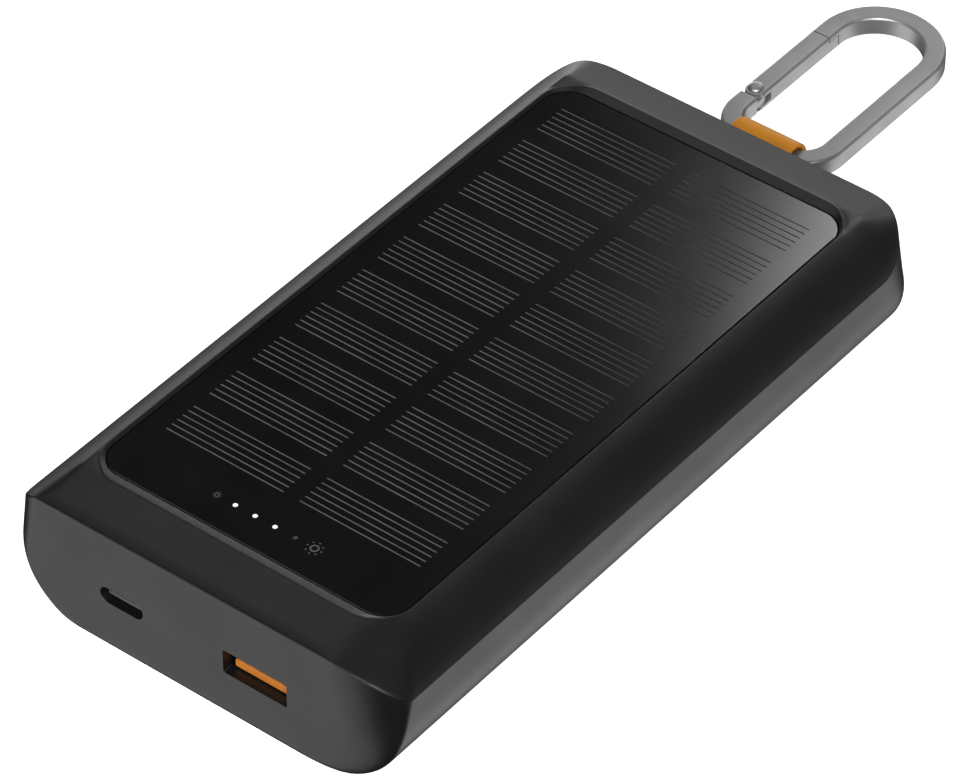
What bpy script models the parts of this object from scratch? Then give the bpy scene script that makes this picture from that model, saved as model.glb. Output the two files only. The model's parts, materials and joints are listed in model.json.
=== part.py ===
"""Solar phone charger: a power bank with a solar panel on top, a USB-A and a USB-C port in its
front end, and an orange strap loop with a small carabiner at its rear end.

Metres. +Z is up out of the solar panel, +Y runs from the ports to the carabiner, and +X is to the
right when the port end is looked at. The origin is the centre of the flat underside.
"""

import math

import bmesh
import bpy
from mathutils import Matrix, Vector

MM = 0.001

# Housing
HALF_WIDTH = 38.35 * MM
HALF_LENGTH = 70.3 * MM
LIP_Z = 27.5 * MM
PANEL_Z = 27.0 * MM
END_CREASE_Z = 25.6 * MM
SIDE_CREASE_Z = 20.45 * MM
CREASE_BLEND = 0.35 * MM
SHOULDER_HALF_TURN = 11.0
WIDEST_Z = 16.0 * MM
SIDE_REACH = 19.9 * MM
SIDE_POWER = 2.2
END_ROUND = 2.5 * MM
WALL = 2.0 * MM
PARTING_GAP = 0.2 * MM
SKIRT_CLEARANCE = 0.25 * MM
GASKET_CLEARANCE = 0.2 * MM
ROOF_HALF = (31.0 * MM, 62.6 * MM, 5.0 * MM)
CUT_MARGIN = 1.0 * MM
PORT_CUT_DEPTH = 4.0 * MM
BUTTON_CUT_X = -33.0 * MM
BUTTON_CLEARANCE = 0.3 * MM
BUTTON_CUT_RADIUS = 1.5 * MM
USB_A_CUT_RADIUS = 0.35 * MM
STRAP_CUT_Y = 66.9 * MM
STRAP_CUT_RADIUS = 1.6 * MM
BATTERY_RIB_X = (14.0 * MM, 15.4 * MM)
BATTERY_RIB_Y = (-40.0 * MM, 58.0 * MM)
BATTERY_RIB_FOOT_Z = 1.0 * MM
ANCHOR_EAR_X = (7.4 * MM, 9.9 * MM)
ANCHOR_EAR_Y = (62.6 * MM, 69.0 * MM)
ANCHOR_EAR_HALF_HEIGHT = 4.5 * MM
ANCHOR_WAY_X = 9.2 * MM
ANCHOR_PIN_X = 9.0 * MM
ANCHOR_CLEARANCE = 0.12 * MM
CASE_SCREW_WAY = (1.25 * MM, 12.0 * MM)
CASE_SINK_RADIUS = 2.25 * MM
CASE_POST_TOP_Z = 24.2 * MM
POST_WAY = (1.15 * MM, 8.0 * MM, 17.0 * MM)
BOARD_SCREW_WAY = (1.1 * MM, 6.0 * MM, 13.0 * MM)
BOARD_HOLE = (1.3 * MM, 11.0 * MM, 14.0 * MM)
SKIRT_DEPTH = 3.1 * MM
RIM_WALL = 1.0 * MM
RIM_DEPTH = 4.2 * MM
CORNER_STEPS = 6

# Plan radius of the upright corners, at the front and at the rear. It shrinks towards the foot.
CREASE_CORNER = (6.0 * MM, 12.2 * MM)
FOOT_CORNER = (1.0 * MM, 4.5 * MM)
CORNER_POWER = 1.5
LEAST_CORNER = 0.4 * MM

# Panel pocket in the upper shell
LIP_HALF = (30.5 * MM, 61.9 * MM, 7.0 * MM)
POCKET_HALF = (29.95 * MM, 60.1 * MM, 5.2 * MM)
LEDGE_HALF = (27.8 * MM, 57.9 * MM, 3.4 * MM)
LEDGE_TOP_Z = 24.2 * MM
LEDGE_UNDER_Z = 22.6 * MM
SHOULDER_STEPS = 5

# Laminated solar panel, from the front sheet down
PANEL_HALF = (29.75 * MM, 59.9 * MM, 5.0 * MM)
WINDOW_THICK = 0.75 * MM
CELL_TOP_Z = 26.1 * MM
CELL_THICK = 0.2 * MM
BOARD_TOP_Z = 25.75 * MM
BOARD_THICK = 1.0 * MM
TAPE_TOP_Z = 24.6 * MM
TAPE_THICK = 0.25 * MM
CELL_ROWS = 10
CELL_PITCH = 10.55 * MM
CELL_INNER_X = 1.1 * MM
CELL_OUTER_X = 25.8 * MM
CELL_DEPTH = 9.9 * MM
FIRST_CELL_Y = -43.7 * MM
RIBBON_HALF = 2.0 * MM

# Charge indicator: four light points in a row near the front edge of the panel
INDICATOR_COUNT = 4
INDICATOR_PITCH = 4.0 * MM
INDICATOR_FIRST_X = -5.8 * MM
INDICATOR_Y = -53.9 * MM
INDICATOR_RADIUS = 0.55 * MM
INDICATOR_HOLE = 0.75 * MM

# Ports, centred on the mid-plane of the circuit board
PORT_Z = 12.4 * MM
USB_A_X = 11.3 * MM
USB_A_CUTOUT = (12.7 * MM, 4.7 * MM)
USB_A_SHELL = (13.3 * MM, 5.5 * MM)
USB_A_BACK_Y = -54.5 * MM
USB_A_TONGUE = (11.1 * MM, 1.5 * MM)
USB_A_TONGUE_Z = 11.15 * MM
USB_A_TONGUE_RECESS = 1.9 * MM
USB_A_TONGUE_RADIUS = 0.2 * MM
USB_A_SHELL_RADIUS = 0.5 * MM
USB_C_TONGUE_RECESS = 0.85 * MM
USB_C_TONGUE_RADIUS = 0.15 * MM
TONGUE_BACK_GAP = 0.7 * MM
PORT_BACK_WALL = 0.5 * MM
LEAST_PORT_RADIUS = 0.1 * MM
ROUND_END = 0.49
INDICATOR_FOOT_Z = 25.85 * MM
INDICATOR_EDGE_DROP = 0.15 * MM
INDICATOR_TOP_DROP = 0.03 * MM
BOARD_INSET = 0.3 * MM
TAPE_WIDTH = 1.5 * MM
USB_C_X = -15.75 * MM
USB_C_CUTOUT = (8.7 * MM, 3.1 * MM)
USB_C_SHELL = (9.0 * MM, 3.3 * MM)
USB_C_BACK_Y = -62.0 * MM
USB_C_TONGUE = (6.7 * MM, 0.7 * MM)
PORT_WALL = 0.35 * MM
CONNECTOR_SETBACK = 2.3 * MM

# Main circuit board and what is soldered to it
PCB_Z = (11.6 * MM, 12.8 * MM)
PCB_FRONT_Y = -67.6 * MM
PCB_STEP_Y = -60.6 * MM
PCB_BACK_Y = -47.5 * MM
PCB_NARROW_X = 20.6 * MM
PCB_WIDE_X = 32.0 * MM
PART_GAP = 0.2 * MM

# Power button in the left side wall
BUTTON_Y = -54.0 * MM
BUTTON_Z = 13.9 * MM
BUTTON_SIZE = (9.0 * MM, 3.6 * MM)
BUTTON_FLANGE = (11.2 * MM, 4.8 * MM)
BUTTON_FACE_X = -38.2 * MM
BUTTON_FLANGE_X = (-35.3 * MM, -34.6 * MM)
SWITCH_BODY_X = (-31.8 * MM, -28.6 * MM)
PLUNGER_FACE_X = -34.3 * MM

# Battery
CELL_PACK_HALF_X = 29.5 * MM
CELL_PACK_Y = (-44.0 * MM, 60.0 * MM)
LOWER_PACK_Z = (4.7 * MM, 12.5 * MM)
FOAM_Z = (12.8 * MM, 13.4 * MM)
UPPER_PACK_Z = (13.7 * MM, 21.5 * MM)

# Screw posts that hold the shells together, and the board's two screws
FRONT_SCREW = (24.2 * MM, -64.2 * MM)
REAR_SCREW = (20.0 * MM, 64.3 * MM)
BOSS_RADIUS = 3.0 * MM
POST_RADIUS = 2.7 * MM
BOSS_TOP_Z = 8.7 * MM
CASE_BOSS_FOOT_Z = 1.6 * MM
BOARD_BOSS_RADIUS = 2.4 * MM
BOARD_BOSS_FOOT_Z = 1.9 * MM
SCREW_SEAT_Z = 2.3 * MM
POST_FOOT_Z = 9.0 * MM
BOARD_SCREW = (25.4 * MM, -55.0 * MM)
CASE_SCREW_SIZE = (1.95 * MM, 0.95 * MM, 12.0 * MM)
BOARD_SCREW_SIZE = (1.9 * MM, 0.85 * MM, 5.0 * MM)
SCREW_TIP = 0.6 * MM
SCREW_RIM = 0.9 * MM
SCREW_HEAD = 1.35 * MM
CHIPS = {
    "charge_controller_chip": (-7.0 * MM, -58.0 * MM, 5.0 * MM, 5.0 * MM, 0.9 * MM),
    "boost_converter_chip": (-16.0 * MM, -53.5 * MM, 4.0 * MM, 4.0 * MM, 0.9 * MM),
    "battery_protection_chip": (0.0, -51.0 * MM, 3.0 * MM, 5.0 * MM, 1.1 * MM),
}
INDUCTOR_PLACE = (-8.0 * MM, -51.0 * MM)
INDUCTOR_HALF = 3.5 * MM
INDUCTOR_RADIUS = 1.0 * MM
INDUCTOR_HEIGHT = 3.0 * MM
CAPACITOR_X = (7.0 * MM, 14.0 * MM)
CAPACITOR_Y = -50.8 * MM
CAPACITOR_RADIUS = 2.5 * MM
CAPACITOR_ROUND = 0.3 * MM
CAPACITOR_HEIGHT = 5.4 * MM
BUTTON_RADIUS = 1.2 * MM
BUTTON_FLANGE_RADIUS = 1.4 * MM
SWITCH_HALF_Y = 3.0 * MM
SWITCH_HEIGHT = 3.4 * MM
PLUNGER_SIZE = (2.8 * MM, 1.4 * MM)
PLUNGER_RADIUS = 0.3 * MM
PLUNGER_GAP = 0.5 * MM
CELL_PACK_RADIUS = 1.6 * MM
FOAM_HALF_X = 26.0 * MM
FOAM_INSET_Y = 4.0 * MM
TAB_BOARD_HALF_X = 18.0 * MM
TAB_BOARD_GAP = (1.2 * MM, 0.3 * MM)
TAB_BOARD_Z = (9.0 * MM, 17.0 * MM)
THERMISTOR_PLACE = (22.0 * MM, -45.6 * MM)
THERMISTOR_PROFILE = (
    (0.5 * MM, 16.6 * MM),
    (1.1 * MM, 16.9 * MM),
    (1.1 * MM, 18.9 * MM),
    (0.5 * MM, 19.2 * MM),
)
SOLDER_GAP = 0.2 * MM
TAB_SOLDER_GAP = 1.5 * MM
LEAD_PITCH = 1.5 * MM
BATTERY_LEAD_X = -15.5 * MM
BATTERY_LEAD_RADIUS = 0.6 * MM
SOLAR_LEAD_START = (23.0 * MM, -50.5 * MM)
SOLAR_LEAD_RADIUS = 0.45 * MM
BATTERY_LEAD_ROUTE = ((0, 14.5 * MM), (-1.4 * MM, 14.7 * MM), (-2.6 * MM, 14.2 * MM))
BATTERY_LEAD_END_Y = -3.1 * MM
SOLAR_LEAD_ROUTE = (
    (0, 0.3 * MM, 23.0 * MM),
    (0.6 * MM, 1.6 * MM, 20.0 * MM),
    (0.2 * MM, 1.5 * MM, 16.5 * MM),
    (0, 0.2 * MM, 14.3 * MM),
)

# Strap loop and its anchor inside the rear wall
STRAP_WIDTH = 12.4 * MM
STRAP_THICK = 0.8 * MM
STRAP_BORE = 3.0 * MM
SWING_Y = 77.5 * MM
ANCHOR_Y = 66.0 * MM
ANCHOR_RADIUS = 1.5 * MM
SLOT_HALF = (7.3 * MM, 4.1 * MM)
GROMMET_THICK = 0.55 * MM
GROMMET_Y = (68.5 * MM, 70.2 * MM)
GROMMET_RADII = (1.5 * MM, 1.0 * MM)
STRAP_PIN_GAP = 0.25 * MM

# Carabiner: a flat-sided bar bent into a long loop, with a gate in its left leg
BAR = 3.8 * MM
BAR_CHAMFER = 0.5 * MM
BAR_Z = 16.3 * MM
LEG_X = 9.85 * MM
NEAR_BAR_Y = 77.1 * MM
NEAR_BEND = 6.6 * MM
FAR_BEND = 9.85 * MM
FAR_CENTRE_Y = 110.6 * MM
PIVOT_Y = 88.4 * MM
GATE_NOSE_Y = 107.3 * MM
GATE_TIP_Y = 110.1 * MM
LAP_Z = 17.2 * MM
JOINT_GAP = 0.25 * MM
TONGUE_HALF_Z = 0.7 * MM
TONGUE_RADIUS = 1.45 * MM
TONGUE_ROOT = 3.2 * MM
FRAME_START = 2.2 * MM
GATE_START = 3.0 * MM
CUT_REACH = 4.0 * MM
CUT_SIDE = 3.0 * MM
NOSE_REACH = 2.0 * MM
FORK_DEPTH = 2.5 * MM
SPRING_BORE_START = 2.2 * MM
SPRING_START = 2.9 * MM
SPRING_END_GAP = 0.5 * MM
SPRING_SIDE_GAP = 0.12 * MM
SPRING_WIRE_RADIUS = 0.17 * MM
SPRING_TURNS = 6
RIVET_SEAT = 0.08 * MM
CHEEK_GAP = 0.15 * MM
KNUCKLE_RADIUS = 1.85 * MM
SPRING_END_Y = 98.0 * MM
SPRING_BORE = 1.05 * MM
RIVET_RADIUS = 0.8 * MM
RIVET_HOLE = 0.88 * MM
RIVET_HEAD = 1.4 * MM
RIVET_DOME = 0.65 * MM


def clear_scene():
    for obj in list(bpy.data.objects):
        bpy.data.objects.remove(obj, do_unlink=True)


def material(name, colour, roughness, metallic=0.0):
    made = bpy.data.materials.get(name)
    if made:
        return made
    made = bpy.data.materials.new(name)
    made.use_nodes = True
    shader = made.node_tree.nodes["Principled BSDF"]
    shader.inputs["Base Color"].default_value = (*colour, 1.0)
    shader.inputs["Roughness"].default_value = roughness
    shader.inputs["Metallic"].default_value = metallic
    return made


def materials():
    """The finish of every kind of piece, by name."""
    return {
        "soft_touch": material("soft_touch", (0.045, 0.045, 0.047), 0.55),
        "panel_gloss": material("panel_gloss", (0.008, 0.008, 0.009), 0.08),
        "silicon": material("silicon", (0.02, 0.022, 0.04), 0.3),
        "board": material("board", (0.02, 0.10, 0.05), 0.5),
        "panel_board": material("panel_board", (0.03, 0.03, 0.03), 0.6),
        "adhesive": material("adhesive", (0.7, 0.7, 0.68), 0.7),
        "indicator": material("indicator", (0.95, 0.95, 0.92), 0.3),
        "port_metal": material("port_metal", (0.09, 0.09, 0.095), 0.35, 0.9),
        "port_orange": material("port_orange", (0.80, 0.30, 0.05), 0.4),
        "port_black": material("port_black", (0.02, 0.02, 0.02), 0.4),
        "chip": material("chip", (0.02, 0.02, 0.022), 0.5),
        "ferrite": material("ferrite", (0.06, 0.06, 0.065), 0.7),
        "can": material("can", (0.6, 0.6, 0.62), 0.3, 1.0),
        "button": material("button", (0.05, 0.05, 0.052), 0.5),
        "seal": material("seal", (0.03, 0.03, 0.03), 0.7),
        "foil": material("foil", (0.55, 0.56, 0.58), 0.35, 0.9),
        "foam": material("foam", (0.05, 0.05, 0.05), 0.95),
        "wire_red": material("wire_red", (0.55, 0.02, 0.02), 0.5),
        "wire_black": material("wire_black", (0.01, 0.01, 0.01), 0.5),
        "steel": material("steel", (0.5, 0.5, 0.52), 0.3, 1.0),
        "strap_orange": material("strap_orange", (0.62, 0.22, 0.03), 0.45),
        "aluminium": material("aluminium", (0.55, 0.55, 0.56), 0.35, 1.0),
    }


def new_object(name, mesh, finish=None):
    obj = bpy.data.objects.new(name, mesh)
    bpy.context.scene.collection.objects.link(obj)
    if finish:
        mesh.materials.append(finish)
    return obj


def from_faces(name, points, faces, finish=None, smooth=True):
    mesh = bpy.data.meshes.new(name)
    shape = bmesh.new()
    corners = [shape.verts.new(point) for point in points]
    for face in faces:
        shape.faces.new([corners[index] for index in face])
    bmesh.ops.recalc_face_normals(shape, faces=shape.faces)
    shape.to_mesh(mesh)
    shape.free()
    if smooth:
        mesh.shade_smooth()
        mesh.set_sharp_from_angle(angle=math.radians(30))
    return new_object(name, mesh, finish)


def loft(name, rings, finish=None, closed=False):
    """Skin rings of equally many points. A closed loft joins its last ring to its first."""
    count = len(rings[0])
    points = [point for ring in rings for point in ring]
    spans = len(rings) if closed else len(rings) - 1
    faces = []
    for span in range(spans):
        low = span * count
        high = ((span + 1) % len(rings)) * count
        for index in range(count):
            after = (index + 1) % count
            faces.append((low + index, low + after, high + after, high + index))
    if not closed:
        faces.append(tuple(range(count)))
        faces.append(tuple(range(len(points) - count, len(points))))
    return from_faces(name, points, faces, finish)


def cornered_plan(half_x, half_y, radii, steps=CORNER_STEPS):
    """A rounded rectangle about the origin, anticlockwise, as (x, y) points. Its front corners
    have the first radius and its rear corners the second."""
    plan = []
    for quarter, (side_x, side_y) in enumerate(((1, 1), (-1, 1), (-1, -1), (1, -1))):
        radius = radii[1] if side_y > 0 else radii[0]
        centre_x = side_x * (half_x - radius)
        centre_y = side_y * (half_y - radius)
        for step in range(steps + 1):
            angle = math.radians(90 * (quarter + step / steps))
            plan.append((centre_x + radius * math.cos(angle), centre_y + radius * math.sin(angle)))
    return plan


def rounded_plan(half_x, half_y, radius, steps=CORNER_STEPS):
    return cornered_plan(half_x, half_y, (radius, radius), steps)


def flat_ring(half, z, grow=0.0):
    half_x, half_y, radius = half
    plan = rounded_plan(half_x + grow, half_y + grow, radius + grow)
    return [(x, y, z) for x, y in plan]


def plate(name, half, z_low, z_high, finish):
    return loft(name, [flat_ring(half, z_low), flat_ring(half, z_high)], finish)


def frame_ring(name, half, width, z_low, z_high, finish):
    """A flat rounded-rectangle ring, width wide, inside the outline half."""
    rings = [
        flat_ring(half, z_low),
        flat_ring(half, z_high),
        flat_ring(half, z_high, -width),
        flat_ring(half, z_low, -width),
    ]
    return loft(name, rings, finish, closed=True)


def prism(name, outline, low, high, axis="z", finish=None, smooth=True):
    """Extrude a closed outline along an axis. Its two numbers are the other axes, in order."""
    place = {
        "x": lambda u, v, w: (w, u, v),
        "y": lambda u, v, w: (u, w, v),
        "z": lambda u, v, w: (u, v, w),
    }[axis]
    count = len(outline)
    points = [place(u, v, level) for level in (low, high) for u, v in outline]
    faces = [tuple(range(count)), tuple(range(count, 2 * count))]
    for index in range(count):
        after = (index + 1) % count
        faces.append((index, after, count + after, count + index))
    return from_faces(name, points, faces, finish, smooth)


def box(name, x_range, y_range, z_range, finish=None):
    outline = [
        (x_range[0], y_range[0]),
        (x_range[1], y_range[0]),
        (x_range[1], y_range[1]),
        (x_range[0], y_range[1]),
    ]
    return prism(name, outline, *z_range, finish=finish, smooth=False)


def circle(centre_u, centre_v, radius, sides=24, start=0.0, turn=360.0):
    whole = abs(turn) >= 360
    last = sides if whole else sides + 1
    angles = [math.radians(start + turn * step / sides) for step in range(last)]
    return [(centre_u + radius * math.cos(a), centre_v + radius * math.sin(a)) for a in angles]


def slot_outline(centre_u, centre_v, width, height, radius, steps=5):
    plan = rounded_plan(width / 2, height / 2, radius, steps)
    return [(centre_u + u, centre_v + v) for u, v in plan]


def lathe(name, profile, centre, finish=None, sides=24):
    """Turn (radius, z) points about a vertical axis through centre."""
    rings = [
        [(centre[0] + u, centre[1] + v, z) for u, v in circle(0, 0, radius, sides)]
        for radius, z in profile
    ]
    return loft(name, rings, finish)


def as_helper(obj):
    obj.hide_render = True
    obj.display_type = "WIRE"
    return obj


def boolean(obj, other, operation):
    as_helper(other)
    modifier = obj.modifiers.new(f"{operation.lower()}_{other.name}", "BOOLEAN")
    modifier.operation = operation
    modifier.object = other
    modifier.solver = "EXACT"
    return obj


def cut(obj, *cutters):
    for cutter in cutters:
        boolean(obj, cutter, "DIFFERENCE")
    return obj


def join(obj, *others):
    for other in others:
        boolean(obj, other, "UNION")
    return obj


def wire(name, route, radius, finish):
    """A round wire along a smooth curve through the route's points."""
    curve = bpy.data.curves.new(name, "CURVE")
    curve.dimensions = "3D"
    curve.bevel_depth = radius
    curve.bevel_resolution = 1
    curve.use_fill_caps = True
    points = smooth_route([Vector(point) for point in route])
    spline = curve.splines.new("POLY")
    spline.points.add(len(points) - 1)
    for place, point in zip(spline.points, points):
        place.co = (*point, 1.0)
    curve.materials.append(finish)
    obj = bpy.data.objects.new(name, curve)
    bpy.context.scene.collection.objects.link(obj)
    return obj


def smooth_route(knots, steps=5):
    """Points of a Catmull-Rom curve through the knots."""
    ends = [2 * knots[0] - knots[1], *knots, 2 * knots[-1] - knots[-2]]
    points = []
    for before, start, end, after in zip(ends, ends[1:], ends[2:], ends[3:]):
        for step in range(steps):
            t = step / steps
            point = 2 * start + (end - before) * t
            point += (2 * before - 5 * start + 4 * end - after) * t**2
            point += (3 * start - before - 3 * end + after) * t**3
            points.append(point / 2)
    return [*points, knots[-1]]


# Outer form of the housing

def side_height(x):
    """Height of the rounded shoulder over the width: an arc from the lip down to the side crease."""
    half_turn = math.radians(SHOULDER_HALF_TURN)
    run = HALF_WIDTH - LIP_HALF[0]
    drop = LIP_Z - SIDE_CREASE_Z
    radius = math.hypot(run, drop) / (2 * math.sin(half_turn))
    first_slope = math.atan2(drop, run) - half_turn
    centre_x = LIP_HALF[0] - radius * math.sin(first_slope)
    centre_z = LIP_Z - radius * math.cos(first_slope)
    across = min(max(abs(x), LIP_HALF[0]) - centre_x, radius)
    return centre_z + math.sqrt(radius**2 - across**2)


def end_height(y):
    """Height of the flat sloping band at either end."""
    slope = (LIP_Z - END_CREASE_Z) / (HALF_LENGTH - LIP_HALF[1])
    return LIP_Z - slope * (abs(y) - LIP_HALF[1])


def top_height(x, y):
    """The lower of shoulder and band, with the mitre between them softened."""
    side = side_height(x)
    end = end_height(y)
    blend = math.log(math.exp(-side / CREASE_BLEND) + math.exp(-end / CREASE_BLEND))
    return min(-CREASE_BLEND * blend, LIP_Z)


def crease_plan(inset=0.0):
    radii = [radius - inset for radius in CREASE_CORNER]
    return cornered_plan(HALF_WIDTH - inset, HALF_LENGTH - inset, radii)


CREASE = [(x, y, top_height(x, y)) for x, y in crease_plan()]


def crease_ring(inset, rise):
    """The crease loop moved inwards and up, each point keeping its own height."""
    plan = crease_plan(inset)
    return [(x, y, corner[2] + rise) for (x, y), corner in zip(plan, CREASE)]


def tub_ring(z, inset=0.0):
    """Plan of the tub at a height: its sides curve under, and its ends turn in near the base."""
    depth = max(WIDEST_Z - z, 0.0) / (WIDEST_Z - inset)
    bulge = max(1 - depth**SIDE_POWER, 0.0) ** (1 / SIDE_POWER)
    half_x = HALF_WIDTH - SIDE_REACH + (SIDE_REACH - inset) * bulge
    round_y = max(END_ROUND - inset, LEAST_CORNER)
    below_y = min(max(inset + round_y - z, 0.0), round_y)
    half_y = HALF_LENGTH - inset - round_y + math.sqrt(round_y**2 - below_y**2)
    share = (z / SIDE_CREASE_Z) ** CORNER_POWER
    radii = []
    for foot, crease in zip(FOOT_CORNER, CREASE_CORNER):
        radii.append(max(foot + (crease - foot) * share - inset, LEAST_CORNER))
    return [(x, y, z) for x, y in cornered_plan(half_x, half_y, radii)]


def tub_levels(inset, steps=8):
    """Heights from the floor up to the widest point, closest together near the floor."""
    rise = WIDEST_Z - inset
    return [WIDEST_Z - rise * math.cos(math.radians(90 * k / steps)) for k in range(steps + 1)]


def boss(name, centre, radius, z_low, z_high, sides=20):
    return prism(name, circle(*centre, radius, sides), z_low, z_high)


def case_screw_places():
    return [(side * x, y) for x, y in (FRONT_SCREW, REAR_SCREW) for side in (-1, 1)]


def board_screw_places():
    return [(side * BOARD_SCREW[0], BOARD_SCREW[1]) for side in (-1, 1)]


def make_lower_shell(finish):
    outside = [tub_ring(z) for z in tub_levels(0.0)]
    rim = [
        crease_ring(0.0, -PARTING_GAP / 2),
        crease_ring(RIM_WALL, -PARTING_GAP / 2),
        crease_ring(RIM_WALL, -RIM_DEPTH),
        crease_ring(WALL, -RIM_DEPTH),
    ]
    inside = [tub_ring(z, WALL) for z in reversed(tub_levels(WALL))]
    shell = loft("lower_shell", outside + rim + inside, finish)
    add_bosses_and_ribs(shell)
    cut_screw_ways(shell)
    cut_openings(shell)
    return shell


def add_bosses_and_ribs(shell):
    for number, place in enumerate(case_screw_places(), 1):
        join(shell, boss(f"case_boss_{number}", place, BOSS_RADIUS, CASE_BOSS_FOOT_Z, BOSS_TOP_Z))
    for number, place in enumerate(board_screw_places(), 1):
        top = PCB_Z[0] - PART_GAP
        join(shell, boss(f"board_boss_{number}", place, BOARD_BOSS_RADIUS, BOARD_BOSS_FOOT_Z, top))
    for side, word in ((-1, "left"), (1, "right")):
        rib_x = sorted(side * x for x in BATTERY_RIB_X)
        rib_z = (BATTERY_RIB_FOOT_Z, LOWER_PACK_Z[0] - PART_GAP)
        join(shell, box(f"battery_rib_{word}", rib_x, BATTERY_RIB_Y, rib_z))
        ear_x = sorted(side * x for x in ANCHOR_EAR_X)
        ear_z = (BAR_Z - ANCHOR_EAR_HALF_HEIGHT, BAR_Z + ANCHOR_EAR_HALF_HEIGHT)
        join(shell, box(f"anchor_ear_{word}", ear_x, ANCHOR_EAR_Y, ear_z))


def cut_screw_ways(shell):
    way_radius, way_top = CASE_SCREW_WAY
    sink_top = SCREW_SEAT_Z + PART_GAP
    for number, place in enumerate(case_screw_places(), 1):
        cut(shell, boss(f"screw_way_{number}", place, way_radius, -CUT_MARGIN, way_top, 16))
        cut(shell, boss(f"screw_sink_{number}", place, CASE_SINK_RADIUS, -CUT_MARGIN, sink_top, 16))
    for number, place in enumerate(board_screw_places(), 1):
        cut(shell, boss(f"board_way_{number}", place, *BOARD_SCREW_WAY, 12))


def cut_openings(shell):
    """The mouths of both ports, the strap's slot, the anchor pin's way and the button's hole."""
    port_y = (-HALF_LENGTH - CUT_MARGIN, -HALF_LENGTH + PORT_CUT_DEPTH)
    usb_a = slot_outline(USB_A_X, PORT_Z, *USB_A_CUTOUT, USB_A_CUT_RADIUS, 2)
    usb_c = slot_outline(USB_C_X, PORT_Z, *USB_C_CUTOUT, ROUND_END * USB_C_CUTOUT[1], 6)
    cut(shell, prism("usb_a_cutout", usb_a, *port_y, axis="y"))
    cut(shell, prism("usb_c_cutout", usb_c, *port_y, axis="y"))
    strap = slot_outline(0, BAR_Z, 2 * SLOT_HALF[0], 2 * SLOT_HALF[1], STRAP_CUT_RADIUS)
    cut(shell, prism("strap_cutout", strap, STRAP_CUT_Y, HALF_LENGTH + CUT_MARGIN, axis="y"))
    pin = circle(ANCHOR_Y, BAR_Z, ANCHOR_RADIUS + ANCHOR_CLEARANCE, 16)
    cut(shell, prism("anchor_way", pin, -ANCHOR_WAY_X, ANCHOR_WAY_X, axis="x"))
    size = [length + 2 * BUTTON_CLEARANCE for length in BUTTON_SIZE]
    button = slot_outline(BUTTON_Y, BUTTON_Z, *size, BUTTON_CUT_RADIUS)
    cut(shell, prism("button_cutout", button, -HALF_WIDTH - CUT_MARGIN, BUTTON_CUT_X, axis="x"))


def make_upper_shell(finish):
    shoulder = []
    for step in range(SHOULDER_STEPS + 1):
        t = step / SHOULDER_STEPS
        half_x = HALF_WIDTH + (LIP_HALF[0] - HALF_WIDTH) * t
        half_y = HALF_LENGTH + (LIP_HALF[1] - HALF_LENGTH) * t
        radii = [radius + (LIP_HALF[2] - radius) * t for radius in CREASE_CORNER]
        ring = [(x, y, top_height(x, y)) for x, y in cornered_plan(half_x, half_y, radii)]
        shoulder.append(ring)
    first = [(x, y, z + PARTING_GAP / 2) for x, y, z in shoulder[0]]
    shoulder[-1] = flat_ring(LIP_HALF, LIP_Z)
    skirt = WALL + SKIRT_CLEARANCE
    skirt_top = [(x, y, top_height(x, y) - WALL) for x, y in crease_plan(skirt)]
    rings = [
        first,
        *shoulder[1:],
        flat_ring(POCKET_HALF, PANEL_Z),
        flat_ring(POCKET_HALF, LEDGE_TOP_Z),
        flat_ring(LEDGE_HALF, LEDGE_TOP_Z),
        flat_ring(LEDGE_HALF, LEDGE_UNDER_Z),
        flat_ring(ROOF_HALF, LEDGE_UNDER_Z),
        skirt_top,
        crease_ring(skirt, -SKIRT_DEPTH),
        crease_ring(RIM_WALL + SKIRT_CLEARANCE, -SKIRT_DEPTH),
        crease_ring(RIM_WALL + SKIRT_CLEARANCE, PARTING_GAP / 2),
    ]
    shell = loft("upper_shell", rings, finish, closed=True)
    for number, place in enumerate(case_screw_places(), 1):
        join(shell, boss(f"case_post_{number}", place, POST_RADIUS, POST_FOOT_Z, CASE_POST_TOP_Z))
    for number, place in enumerate(case_screw_places(), 1):
        cut(shell, boss(f"post_way_{number}", place, *POST_WAY, 12))
    return shell


def make_shell_gasket(finish):
    outer = RIM_WALL + GASKET_CLEARANCE
    inner = WALL + GASKET_CLEARANCE / 2
    low = -RIM_DEPTH + GASKET_CLEARANCE
    high = -SKIRT_DEPTH - GASKET_CLEARANCE
    rings = [
        crease_ring(outer, low),
        crease_ring(outer, high),
        crease_ring(inner, high),
        crease_ring(inner, low),
    ]
    return loft("shell_gasket", rings, finish, closed=True)


# Solar panel

def indicator_x(number):
    return INDICATOR_FIRST_X + number * INDICATOR_PITCH


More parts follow.
